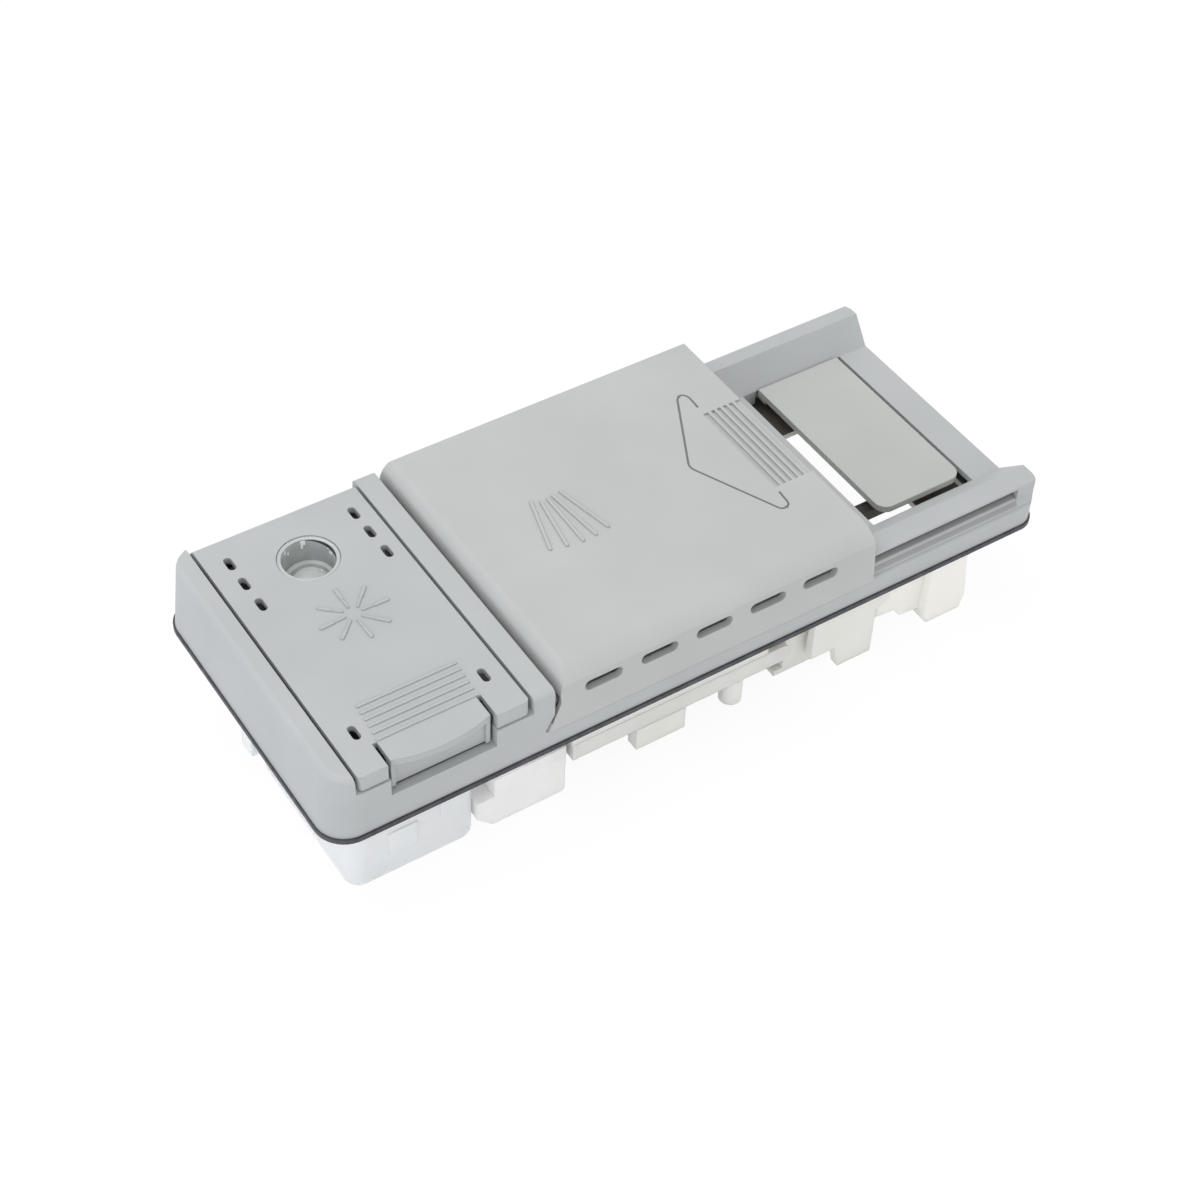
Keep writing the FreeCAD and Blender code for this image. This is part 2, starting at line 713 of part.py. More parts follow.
def front_bezel():
    body = bezel_shell()
    hollow_bezel(body)
    rinse_recess(body)
    chamber_cup(body)
    bezel_openings(body)
    screw_bosses(body)
    skirt_notch(body)
    return body


# Rinse aid end

def door_gasket():
    body = new_body("door_gasket")
    pad(body, "XY_Plane", "seat - gasket_thick", "seat",
        ring_outline("gasket_proud"), ring_outline("gasket_proud - gasket_wide"))
    return body


def ring_outline(grow):
    """Plan of the bezel's edge, grown or shrunk."""
    x = f"half_len + ({grow})"
    y = f"half_wid + ({grow})"
    left = f"left_radius + ({grow})"
    right = f"right_radius + ({grow})"
    return [(f"-({x})", f"-({y})", left), (x, f"-({y})", right), (x, y, right), (f"-({x})", y, left)]


def tab_outline():
    """Plan of the rinse aid lid: two legs and the bowed pull tab between slits."""
    left = "recess_left + side_gap"
    right = "recess_right - side_gap"
    return [
        (left, "barrel_y"), (left, "-leg_near", "1.5"), ("tab_left - slit", "-leg_near"),
        ("tab_left - slit", "-tab_root"), ("tab_left", "-tab_root"), ("tab_left", "-tab_face - 0.8"),
        ("(tab_left + tab_right) / 2", "-tab_bulge", "via"), ("tab_right", "-tab_face - 0.8"),
        ("tab_right", "-tab_root"), ("tab_right + slit", "-tab_root"), ("tab_right + slit", "-leg_near"),
        (right, "-leg_near", "1.5"), (right, "barrel_y"),
    ]


HOLES = [("recess_left + 7.9", "barrel_y - 8"), ("recess_left + 7.9", "barrel_y - 17"),
         ("recess_left + 8.2", "barrel_y - 26.4"), ("recess_left + 7.6", "14.5 - leg_near"),
         ("recess_right - 6.5", "barrel_y - 7.9"), ("recess_right - 6.2", "barrel_y - 16.8"),
         ("recess_right - 5.9", "barrel_y - 26.1"), ("recess_right - 6.8", "14.3 - leg_near")]


def rinse_lid():
    """Hinged lid: plate, barrel along the far edge, legs, pull tab, holes, sight collar and finger ridges."""
    body = new_body("rinse_lid")
    top = "seat + rinse_top"
    under = f"{top} - rinse_thick"
    left = "recess_left + side_gap"
    right = "recess_right - side_gap"
    pad(body, "XY_Plane", under, top, tab_outline())
    pad(body, "YZ_Plane", left, right, circle("barrel_y", f"{top} - barrel_radius", "barrel_radius"))
    pad(body, "XY_Plane", "seat + leg_low", f"{under} + 0.2",
        [(left, "-leg_near", "1.5"), ("tab_left - slit", "-leg_near"), ("tab_left - slit", "-leg_near + skin"),
         (left, "-leg_near + skin")],
        [("tab_right + slit", "-leg_near"), (right, "-leg_near", "1.5"), (right, "-leg_near + skin"),
         ("tab_right + slit", "-leg_near + skin")])
    pad(body, "XY_Plane", "seat + tab_low", f"{under} + 0.2",
        [("tab_left", "-tab_face - 0.8"), ("tab_left + 1.3", "-tab_face - 0.8"),
         ("tab_left + 1.3", "-tab_face"),
         ("tab_right - 1.3", "-tab_face"), ("tab_right - 1.3", "-tab_face - 0.8"),
         ("tab_right", "-tab_face - 0.8"), ("tab_right", "-tab_face + 2"), ("tab_left", "-tab_face + 2")])
    collar = circle("glass_x", "glass_y", "ring_radius + 1.8")
    pad(body, "XY_Plane", "seat + tab_low", f"{under} + 0.2", collar)
    pocket(body, "XY_Plane", "seat + tab_low", f"{top} + 1", circle("glass_x", "glass_y", "ring_radius - 0.1"))
    half = "(hole_long - hole_wide) / 2"
    pocket(body, "XY_Plane", under, top,
           *[slot(x, f"({y}) - {half}", x, f"({y}) + {half}", "hole_wide / 2") for x, y in HOLES])
    pocket(body, "YZ_Plane", left, right,
           circle("barrel_y", f"{top} - barrel_radius", "hinge_pin_radius + pin_play"))
    ridges = []
    for i in range(6):
        low = f"-ridge_first - {i} * ridge_pitch"
        ridges.append(rect(f"ridge_left - {i} * 0.2", f"ridge_right - {i} * 0.2", f"{low} - ridge_wide", low))
    pad(body, "XY_Plane", top, f"{top} + ridge_high", *ridges)
    return body


def sight_glass():
    body = new_body("sight_glass")
    low = "seat + rinse_top - glass_deep"
    pad(body, "XY_Plane", low, "seat + rinse_top - 0.2",
        circle("glass_x", "glass_y", "glass_radius + glass_wall"))
    pocket(body, "XY_Plane", f"{low} + glass_wall", "seat + rinse_top",
           circle("glass_x", "glass_y", "glass_radius"))
    return body


def tube(label, x, y, outer, inner, low, high):
    """An upright ring made of two cylinders."""
    length = f"({high}) - ({low})"
    return cut(label, rod(f"{label}_outer", "z", outer, x, y, low, length),
               rod(f"{label}_bore", "z", inner, x, y, low, length))


def rinse_lid_seal():
    return tube("rinse_lid_seal", "glass_x", "glass_y", "neck_radius + neck_wall", "ring_radius",
                "seat + neck_top + gap", "seat + tab_low")


def rinse_hinge_pin():
    return rod("rinse_hinge_pin", "x", "hinge_pin_radius", "recess_left - 2", "barrel_y",
               "seat + rinse_top - barrel_radius", "recess_right - recess_left + 4")


def reservoir_cover():
    """Cover of the tank with the filler neck and the post that guides the dosing dial."""
    body = new_body("reservoir_cover")
    pad(body, "XY_Plane", "seat", "seat + cover_thick",
        bevelled("tank_left - 1", "tank_right + 0.6", "-tank_near - 0.4", "tank_near", "3"))
    pad(body, "XY_Plane", "seat + cover_thick", "seat + neck_top",
        circle("glass_x", "glass_y", "neck_radius + neck_wall"))
    pad(body, "XY_Plane", "seat + cover_thick", "seat + neck_top - 2",
        circle("dial_x", "dial_y", "dial_stem + 1.6"))
    pocket(body, "XY_Plane", "seat + neck_top - 2", "seat + neck_top",
           circle("glass_x", "glass_y", "neck_radius"))
    pocket(body, "XY_Plane", "seat", "seat + neck_top - 2", circle("glass_x", "glass_y", "neck_radius - 1.2"))
    pocket(body, "XY_Plane", "seat + cover_thick", "seat + neck_top - 2",
           circle("dial_x", "dial_y", "dial_stem + pin_play"))
    return body


def filler_strainer():
    """Cup with four windows, hung in the filler neck by its flange."""
    body = new_body("filler_strainer")
    rim = "seat + neck_top - 2"
    low = f"{rim} - strainer_deep"
    pad(body, "XY_Plane", low, rim, circle("glass_x", "glass_y", "neck_radius - 1.5"))
    pad(body, "XY_Plane", rim, f"{rim} + 1.4", circle("glass_x", "glass_y", "neck_radius - 0.3"))
    pocket(body, "XY_Plane", f"{low} + 1", f"{rim} + 1.4", circle("glass_x", "glass_y", "neck_radius - 2.6"))
    half = "strainer_window / 2"
    pocket(body, "XY_Plane", f"{low} + 2", "seat - 0.6",
           rect(f"glass_x - {half}", f"glass_x + {half}", "glass_y - neck_radius", "glass_y + neck_radius"))
    pocket(body, "XY_Plane", f"{low} + 2", "seat - 0.6",
           rect("glass_x - neck_radius", "glass_x + neck_radius", f"glass_y - {half}", f"glass_y + {half}"))
    return body


def dosing_dial():
    """Dial with a grip bar, a knurled disc and a stem in the cover's post."""
    body = new_body("dosing_dial")
    low = "seat + recess_floor + gap"
    pad(body, "XY_Plane", low, f"{low} + dial_high", circle("dial_x", "dial_y", "dial_radius"))
    pad(body, "XY_Plane", f"{low} + dial_high", f"{low} + dial_high + 4",
        rect("dial_x - 7", "dial_x + 7", "dial_y - 1.2", "dial_y + 1.2"))
    pad(body, "XY_Plane", "seat + cover_thick + gap", low, circle("dial_x", "dial_y", "dial_stem"))
    notches = []
    for angle in range(20, 380, 40):
        rays = [(angle - 5, "(dial_radius + 1)"), (angle + 5, "(dial_radius + 1)"),
                (angle, "(dial_radius - 1.2)")]
        notches.append([(f"dial_x + {reach} * cos({turn})", f"dial_y + {reach} * sin({turn})") for turn,
                        reach in rays])
    pocket(body, "XY_Plane", low, f"{low} + dial_high", *notches)
    return body


def reservoir_tank():
    """Tank in two depths with a flange, a guide post for the float and a snap hook at its left end."""
    body = new_body("reservoir_tank")
    wall = "tank_wall"
    near_part = rect("tank_left", "tank_right", "-tank_near", "tank_step", "5")
    far_part = rect("tank_left + 5", "tank_right", "tank_step - 6", "tank_near - 0.6", "3")
    pad(body, "XY_Plane", "0", "seat - 1", near_part)
    low = value("0")
    round_edges(body, "tank_round", lambda edge: flat_at(edge, low))
    pad(body, "XY_Plane", "seat - tank_shallow", "seat - 1", far_part)
    pad(body, "XY_Plane", "seat - plate_thick", "seat",
        rect("tank_left - 1.6", "tank_right + 1.2", "-tank_near - 1.4", "tank_near + 0.8", "3"))
    pocket(body, "XY_Plane", wall, "seat",
           rect(f"tank_left + {wall}", f"tank_right - {wall}", f"-tank_near + {wall}", f"tank_step - {wall}",
                "4"))
    pocket(body, "XY_Plane", f"seat - tank_shallow + {wall}", "seat",
           rect(f"tank_left + 5 + {wall}", f"tank_right - {wall}", f"tank_step - 8",
                f"tank_near - 0.6 - {wall}", "2"))
    pad(body, "XY_Plane", "tank_wall - 0.2", "seat - 3", circle("float_x", "float_y", "float_post"))
    hook = [("tank_left - 5.3", "seat - 8"), ("tank_left - 3.5", "seat - 8"),
            ("tank_left - 3.5", "seat - 16.5"),
            ("tank_left + 0.2", "seat - 16.5"), ("tank_left + 0.2", "seat - 18.7"),
            ("tank_left - 5.3", "seat - 18.7")]
    pad(body, "XZ_Plane", "tank_step - 8", "tank_step - 2.2", hook)
    pocket(body, "YZ_Plane", "tank_right - 3", "tank_right", circle("stem_y + 4", "port_z", "port_radius"))
    pad(body, "XZ_Plane", "-tank_near - 0.5", "-tank_near + 0.5",
        [("tank_left + 12", "11"), ("tank_left + 21", "11"), ("tank_left + 21", "20"),
         ("tank_left + 12", "20")],
        [("tank_right - 12", "18"), ("tank_right - 5", "18"), ("tank_right - 5", "26"),
         ("tank_right - 12", "26")])
    return body


def level_float():
    return tube("level_float", "float_x", "float_y", "float_radius", "float_post + gap", "tank_wall + gap",
                "tank_wall + gap + 8")


def reed_switch():
    """Sealed switch against the tank's step, with its two pins."""
    body = box("reed_body", ("float_x - 6", "float_x + 6"), ("tank_step", "tank_step + 5"), ("3", "12"))
    pins = [box(f"reed_pin_{i}", (f"float_x + {x} - 0.4", f"float_x + {x} + 0.4"),
                ("tank_step + 5", "tank_step + 9"), ("7", "7.8")) for i, x in enumerate(("-3", "3"))]
    return fuse("reed_switch", body, *pins)


# Detergent lid

def lid_section():
    """Section of the sliding lid: leaning near side, crease, bowed shoulder, sharp far edge and far skirt."""
    return [("-lid_near", "seat + lid_low"), ("-shoulder_y", "seat + shoulder_z"),
            ("-(shoulder_y + crest_y) / 2 - 0.5", "seat + (shoulder_z + lid_top) / 2 + 0.9", "via"),
            ("-crest_y", "seat + lid_top"), ("lid_far_top", "seat + lid_top", "lid_edge"),
            ("lid_far_low", "seat + lid_low")]


def lid_hollow():
    """Section of the space inside the lid, down to its open underside."""
    under = "seat + lid_top - lid_thick"
    return [("-lid_near + lid_wall", "seat + lid_low - 1"),
            ("-shoulder_y + lid_wall", "seat + shoulder_z - 0.6"),
            ("-crest_y", under), ("lid_far_top - lid_wall", under),
            ("lid_far_low - lid_wall", "seat + lid_low - 1")]


def sliding_lid():
    """Lid over the chamber: skirts outside the rails, guide ribs, catch lug and finger grip."""
    body = new_body("sliding_lid")
    top = "seat + lid_top"
    start = "lid_left - skirt_lead"
    pad(body, "YZ_Plane", start, "lid_right", lid_section())
    end_shape = [("lid_left - 20", "seat + lid_low - 1"), (start, "seat + lid_low - 1"),
                 (start, "seat + lid_low"),
                 ("lid_left", "seat + slant_top"), ("lid_left", f"{top} - 6.9"),
                 ("lid_left + 1.2", f"{top} - 2.6", "via"), ("lid_left + end_round", top),
                 ("lid_left + end_round", f"{top} + 5"), ("lid_left - 20", f"{top} + 5")]
    pocket(body, "XZ_Plane", "-lid_near - 1", "lid_far_low + 1", end_shape)
    pocket(body, "YZ_Plane", "lid_left + lid_wall + 0.5", "lid_right + 1", lid_hollow())
    pocket(body, "XY_Plane", "seat", "seat + end_low",
           rect("lid_left - 20", "lid_left + lid_wall + 1", "-lid_near + lid_wall",
                "lid_far_top - lid_wall + 1.3"))
    rail = "seat + groove_low + rib_play"
    pad(body, "XY_Plane", rail, "seat + deck_top - lip - rib_play",
        rect("lid_left + 4", "lid_right - 8", "-lid_near + lid_wall - 0.3", "-groove_y - 0.6"),
        rect("lid_left + 4", "lid_right - 8", "groove_y + 0.6", "lid_far_top - lid_wall + 1.4"))
    half = "(slot_long - slot_high) / 2"
    slots = []
    for i in range(5):
        x = f"slot_first + {i} * slot_pitch"
        slots.append(slot(f"{x} - {half}", "seat + slot_z", f"{x} + {half}", "seat + slot_z", "slot_high / 2"))
    pocket(body, "XZ_Plane", "-lid_near - 1", "-shoulder_y + lid_wall + 0.5", *slots)
    grip = rect("grip_left", "lid_right + 1", "-grip_half", "grip_half")
    pocket(body, "XY_Plane", f"{top} - grip_deep", f"{top} + 1", grip)
    ridges = []
    for i in range(5):
        x = f"grip_left + 1.6 + {i} * grip_pitch"
        ridges.append(rect(x, f"{x} + grip_ridge", "-grip_half", "grip_half"))
    pad(body, "XY_Plane", f"{top} - grip_deep", top, *ridges)
    under = f"{top} - lid_thick"
    pad(body, "XY_Plane", "seat + seal_top + gap", f"{under} + 0.2",
        chamber_outline("1.2 + seal_wide", "0"), chamber_outline("1.2", "0"))
    pad(body, "XY_Plane", "seat + lug_low", f"{under} + 0.2",
        rect("lug_left", "lug_left + lug_thick", "-latch_near + 0.5", "latch_far - 0.5"))
    pad(body, "XY_Plane", "seat + channel_low + 0.6", "seat + channel_low + 2.6",
        rect("lid_left + 2", "lid_left + 5", "coil_y - 0.9", "lid_far_low - lid_wall + 0.6"))
    return body


def lid_seal():
    body = new_body("lid_seal")
    pad(body, "XY_Plane", "seat + deck_top - seal_sunk", "seat + seal_top",
        chamber_outline("1.2 + seal_wide", "0"), chamber_outline("1.2", "0"))
    return body


def lid_spring():
    """Tension coil in the channel of the far rail, between the lid's hook and the right end."""
    return rod("lid_spring", "x", "coil_radius", "lid_left + 5.2", "coil_y", "seat + coil_z",
               "stop_x - lid_left - 5.2")


# Release paddle, lever and latch

def release_paddle():
    """Flat paddle on a barrel behind the far slope, with a boss that presses the lever."""
    body = new_body("release_paddle")
    top = "seat + paddle_top"
    low = f"{top} - paddle_thick"
    axis_z = "seat + paddle_axis_z"
    pad(body, "XY_Plane", low, top,
        [("paddle_left", "-paddle_near", "paddle_radius"), ("paddle_right", "-paddle_near", "paddle_radius"),
         ("paddle_right", "far_foot - 0.5"), ("paddle_left", "far_foot - 0.5")])
    pad(body, "YZ_Plane", "paddle_left", "paddle_right", circle("paddle_axis_y", axis_z, "paddle_barrel"))
    pad(body, "XY_Plane", f"{axis_z} - 0.5", f"{low} + 0.4",
        rect("paddle_left + 0.5", "paddle_right - 0.5", "far_foot - 4", "paddle_axis_y"))
    pad(body, "XY_Plane", f"{low} - paddle_boss", f"{low} + 0.2",
        circle("lever_end - 2", "-lever_near + 2", "1.2"))
    pocket(body, "YZ_Plane", "paddle_left", "paddle_right",
           circle("paddle_axis_y", axis_z, "paddle_pin_radius + pin_play"))
    return body


def paddle_pin():
    return rod("paddle_pin", "x", "paddle_pin_radius", "paddle_left - 3.5", "paddle_axis_y",
               "seat + paddle_axis_z", "paddle_right - paddle_left + 7")


def release_lever():
    """Rocking lever: hub, long bar to the paddle, fork round the plunger and arm down to the dosing rod."""
    body = new_body("release_lever")
    axis_z = "seat + lever_z"
    hub = circle("lever_x", axis_z, "lever_hub")
    pad(body, "XZ_Plane", "-near_crest + 0.1", "-17.4", hub)
    pad(body, "XY_Plane", "seat + lever_bar_top - lever_bar", "seat + lever_bar_top",
        rect("lever_x", "lever_end", "-lever_near", "-lever_near + 4"))
    pad(body, "XY_Plane", "seat + lever_bar_top - 2.4", "seat + lever_bar_top",
        rect("latch_left - 2", "latch_right + 1.5", "-lever_near", "latch_far + 1"))
    fork = [("plunger_x - 5", "-lever_near + 3"), ("plunger_x + 5", "-lever_near + 3"),
            ("plunger_x + 5", "plunger_y + 6"), ("plunger_x + 1.9", "plunger_y + 6"),
            ("plunger_x + 1.9", "plunger_y - 1.9"), ("plunger_x - 1.9", "plunger_y - 1.9"),
            ("plunger_x - 1.9", "plunger_y + 6"), ("plunger_x - 5", "plunger_y + 6")]
    pad(body, "XY_Plane", "seat + lever_bar_top - 3.2", "seat + lever_bar_top - 0.8", fork)
    pad(body, "XY_Plane", f"{axis_z} - lever_arm - 1.8", axis_z,
        rect("lever_x - 3", "lever_x + 3", "-near_crest + 0.1", "-near_crest + 3.1"))
    pad(body, "XZ_Plane", "-rod_near + rod_thick - rod_slot_deep + gap", "-near_crest + 0.2",
        circle("lever_x", f"{axis_z} - lever_arm", "1.4"))
    pocket(body, "XZ_Plane", "-rod_near", "-17", circle("lever_x", axis_z, "lever_pin_radius + pin_play"))
    return body


def lid_latch():
    """Wedge on the lever's plate: upright face towards the catch lug, ramp on the other side."""
    body = new_body("lid_latch")
    foot = "seat + lever_bar_top"
    top = "seat + latch_top"
    wedge = [("latch_left", foot), ("latch_right", foot), ("latch_right", f"{foot} + 2.5"),
             ("latch_left + 4", top, "0.8"), ("latch_left", top)]
    pad(body, "XZ_Plane", "-latch_near", "latch_far", wedge)
    return body


def lever_pin():
    return rod("lever_pin", "y", "lever_pin_radius", "lever_x", "-near_crest - 2", "seat + lever_z",
               "near_crest + 2 - 14.8")


# Solenoid

def solenoid_coil():
    return tube("solenoid_coil", "plunger_x", "plunger_y", "coil_outer", "plunger_radius + gap",
                "seat + coil_low", "seat + coil_high")


def solenoid_yoke():
    """Steel frame around the coil, open on two sides."""
    x = ("plunger_x - coil_outer - yoke_thick - 0.2", "plunger_x + coil_outer + yoke_thick + 0.2")
    y = ("plunger_y - coil_outer - 1", "plunger_y + coil_outer + 1")
    frame = box("yoke_frame", x, y, ("seat + coil_low - yoke_thick", "seat + coil_high + yoke_thick"))
    inside = box("yoke_inside", (f"{x[0]} + yoke_thick", f"{x[1]} - yoke_thick"),
                 (f"{y[0]} - 1", f"{y[1]} + 1"),
                 ("seat + coil_low", "seat + coil_high"))
    hole = rod("yoke_hole", "z", "plunger_radius + gap", "plunger_x", "plunger_y", "seat + coil_high - 1",
               "yoke_thick + 2")
    return cut("solenoid_yoke", frame, inside, hole)


def solenoid_plunger():
    """Iron core with a spring flange, a thin neck and a head above the fork."""
    upper = "seat + lever_bar_top"
    core_top = f"{upper} - 4"
    core_low = "seat + coil_low + 3.4"
    parts = [
        rod("plunger_core", "z", "plunger_radius", "plunger_x", "plunger_y", core_low,
            f"{core_top} - ({core_low})"),
        rod("plunger_flange", "z", "plunger_radius + 1.5", "plunger_x", "plunger_y", f"{core_top} - 1.6", "1"),
        rod("plunger_neck", "z", "neck_thin", "plunger_x", "plunger_y", core_top, "4.1"),
        rod("plunger_head", "z", "plunger_radius - 0.3", "plunger_x", "plunger_y", upper, "1.2"),
    ]
    return fuse("solenoid_plunger", *parts)


def plunger_spring():
    return tube("plunger_spring", "plunger_x", "plunger_y", "plunger_radius + 1.3", "plunger_radius + gap",
                "seat + coil_high + yoke_thick", "seat + lever_bar_top - 5.6")


# Dosing rod and valve

def dosing_rod():
    """Rod along the near side: rounded end with a slot for the lever's pin, step inward and valve stem."""
    body = new_body("dosing_rod")
    low = "seat + rod_low"
    high = "seat + rod_high"
    middle = f"seat + (rod_low + rod_high) / 2"
    round_end = "(rod_high - rod_low) / 2 - 0.2"
    pad(body, "XZ_Plane", "-rod_near", "-rod_near + rod_thick",
        [("jog_x - jog_thick", low), ("rod_right", low, round_end), ("rod_right", high, round_end),
         ("jog_x - jog_thick", high)])
    pad(body, "XY_Plane", low, high,
        rect("jog_x - jog_thick", "jog_x", "-rod_near + 0.1", "stem_y + stem_radius + 0.3"))
    pad(body, "YZ_Plane", "stem_end", "jog_x - jog_thick + 0.1", circle("stem_y", middle, "stem_radius"))
    pocket(body, "XZ_Plane", "-rod_near + rod_thick - rod_slot_deep", "-rod_near + rod_thick + 1",
           rect("lever_x - 1.75", "lever_x + 1.75", f"seat + lever_z - lever_arm - 1.9",
                f"seat + lever_z - lever_arm + 1.9"))
    return body


def valve_body():
    """Dosing valve beside the tank: chamber with its port, upper block round the stem, post to the plate."""
    body = new_body("valve_body")
    middle = "seat + (rod_low + rod_high) / 2"
    far = "stem_y + 14.2"
    pad(body, "XZ_Plane", "-tank_near + 0.1", far,
        [("tank_right", "seat - 20"), ("tank_right", "seat - 27"), ("tank_right + 5", "seat + valve_low"),
         ("valve_right", "seat + valve_low", "1.5"), ("valve_right", "seat - 20")])
    pad(body, "XZ_Plane", "-tank_near + 0.1", "stem_y + 7",
        [("tank_right + 5.6", "seat - 20.2"), ("valve_right + 0.2", "seat - 20.2"),
         ("valve_right + 0.2", "seat + rod_high"), ("tank_right + 5.6", "seat + rod_high")])
    pad(body, "XY_Plane", "seat + rod_high - 0.2", "seat - plate_thick",
        rect("tank_right + 6.6", "tank_right + 14.6", "-tank_near + 1.6", "stem_y + 4.2"))
    pocket(body, "YZ_Plane", "stem_end - 4", "valve_right + 1", circle("stem_y", middle, "stem_radius + gap"))
    pocket(body, "YZ_Plane", "valve_right - 3", "valve_right + 1",
           circle("stem_y", middle, "stem_radius + 2.2"))
    pocket(body, "YZ_Plane", "tank_right", "stem_end - 1", circle("stem_y + 4", "port_z", "port_radius"))
    pocket(body, "XY_Plane", "port_z", middle, circle("stem_end - 2.2", "stem_y + 1", "1.6"))
    return body


def valve_gland():
    stem = rod("gland_outer", "x", "stem_radius + 2.2", "valve_right - 3", "stem_y",
               "seat + (rod_low + rod_high) / 2", "2.8")
    bore = rod("gland_bore", "x", "stem_radius + gap", "valve_right - 4", "stem_y",
               "seat + (rod_low + rod_high) / 2", "6")
    return cut("valve_gland", stem, bore)


# Rear housing and connector

def rear_housing():
    """Milky rear frame: plate with windows, skirts, rod guides, feet, cradle and splash tray."""
    body = new_body("rear_housing")
    plate = "seat - plate_thick"
    window_end = "vent_right + 0.5"
    pad(body, "XY_Plane", plate, "seat",
        [("tank_right + 1.5", "-plate_half"), ("plate_end", "-plate_half", "4"),
         ("plate_end", "plate_half", "4"),
         ("tank_right + 1.5", "plate_half")])
    pocket(body, "XY_Plane", f"{plate} - 1", "seat + 1",
           bevelled("chamber_left - cup_wall - 0.5", "chamber_right + cup_wall + 0.5",
                    "-chamber_half - cup_wall - 0.5", "chamber_half + cup_wall + 0.5", "2"),
           [("deck_end + 3", "-38"), ("lever_x - 4", "-38"), ("lever_x - 4", "-43"), ("lever_x + 4", "-43"),
            ("lever_x + 4", "-38"), (window_end, "-38"), (window_end, "43"), ("deck_end + 3", "43")],
           *[circle(x, y, "screw_radius + gap") for x, y in SCREWS])
    skirt = "-skirt_y"
    pad(body, "XY_Plane", "seat + skirt_low", f"{plate} + 0.2",
        rect("-42", "26", skirt, f"{skirt} + skirt_wall"), rect("-42", "26", "skirt_y - skirt_wall", "skirt_y"))
    low = "seat - 28.4"
    pad(body, "XY_Plane", low, f"{plate} + 0.2", rect("-19.6", "-2.6", "-rod_near + 2.7", "-rod_near + 4.4"),
        rect("12.7", "19.7", "-rod_near + 2.7", "-rod_near + 4.4"))
    pad(body, "XY_Plane", low, "seat + rod_low - gap",
        rect("-19.6", "-2.6", "-rod_near + 0.1", "-rod_near + 2.8"))
    pad(body, "XY_Plane", "seat - 29.4", "seat + rod_low - gap", circle("16.2", "-rod_near + 3.6", "3.5"))
    hook = [("43", f"{plate} + 0.2"), ("43", "seat - 25"), ("52", "seat - 25"), ("54", "0"), ("66.4", "0"),
            ("66.4", "seat - 16"), ("71", "seat - 13"), ("71", f"{plate} + 0.2")]
    pad(body, "XZ_Plane", "-skirt_y", "-skirt_y + 3", hook)
    pad(body, "XZ_Plane", "skirt_y - 3", "skirt_y", hook)
    floor = "seat + coil_low - yoke_thick"
    pad(body, "XY_Plane", f"{floor} - 2", floor,
        rect("plunger_x - 11", "plunger_x + 13", "-40", "plunger_y + coil_outer + 3"))
    pad(body, "XY_Plane", f"{floor} - 2", f"{plate} + 0.2",
        rect("plunger_x - 8", "plunger_x + 13", "-40", "-38"))
    tray_left = "vent_right - tray_long"
    pad(body, "XY_Plane", f"{plate} - 1.8", f"{plate} + 0.2",
        [(tray_left, "-29.7"), ("vent_right", "-29.7"), ("vent_right", "-26"), (f"{window_end} + 0.3", "-26"),
         (f"{window_end} + 0.3", "26"), ("vent_right", "26"), ("vent_right", "43.2"), ("shelf_left", "43.2"),
         ("shelf_left", "shelf_near"), (tray_left, "shelf_near")])
    return body


def connector_housing():
    """Plug housing under the right end: set-back left part, proud block with a socket open to the right."""
    body = new_body("connector_housing")
    top = "seat - plate_thick"
    left_part = [("plug_left", top), ("plug_left", "seat - 24.3"), ("plug_left + 7.1", "seat - 25.1"),
                 ("plug_left + 9.6", "seat - 28.7"), ("plug_left + 19", "seat - 29.7"), ("plug_left + 19", top)]
    block = [("plug_left + 17.2", top), ("plug_left + 17.2", "seat - 30"), ("plug_left + 18.5", "0"),
             ("plug_left + 31.6", "0"), ("plug_left + 32.9", "seat - 28.9"),
             ("plug_left + 30.8", "seat - 11.5"),
             ("plug_left + 33", "seat - 10.5"), ("plug_left + 33", top)]
    pad(body, "XZ_Plane", "-skirt_y + 3.3", "-30", left_part)
    pad(body, "XZ_Plane", "-skirt_y + 0.1", "-30", block)
    pocket(body, "YZ_Plane", "socket_back", "plug_left + 35", rect("-skirt_y + 1.9", "-31.8", "3", "21"))
    blades = []
    for i in range(3):
        z = f"socket_low + {i} * socket_pitch"
        blades.append(rect("-39.6", "-34.8", f"{z} - 0.4", f"{z} + 0.4"))
    pocket(body, "YZ_Plane", "socket_back - blade_seat", "socket_back", *blades)
    return body


def terminal_blades():
    blades = []
    for i in range(3):
        z = f"socket_low + {i} * socket_pitch"
        blades.append(box(f"blade_{i}", ("socket_back - blade_seat", "socket_back + blade_long"),
                          ("-39.6", "-34.8"),
                          (f"{z} - 0.4", f"{z} + 0.4")))
    return fuse("terminal_blades", *blades)


def housing_screws():
    parts = []
    for i, (x, y) in enumerate(SCREWS):
        parts.append(rod(f"screw_head_{i}", "z", "screw_head", x, y, "seat - plate_thick - screw_head_high",
                         "screw_head_high"))
        parts.append(rod(f"screw_shank_{i}", "z", "screw_radius", x, y, "seat - plate_thick - 0.1", "5"))
    return fuse("housing_screws", *parts)


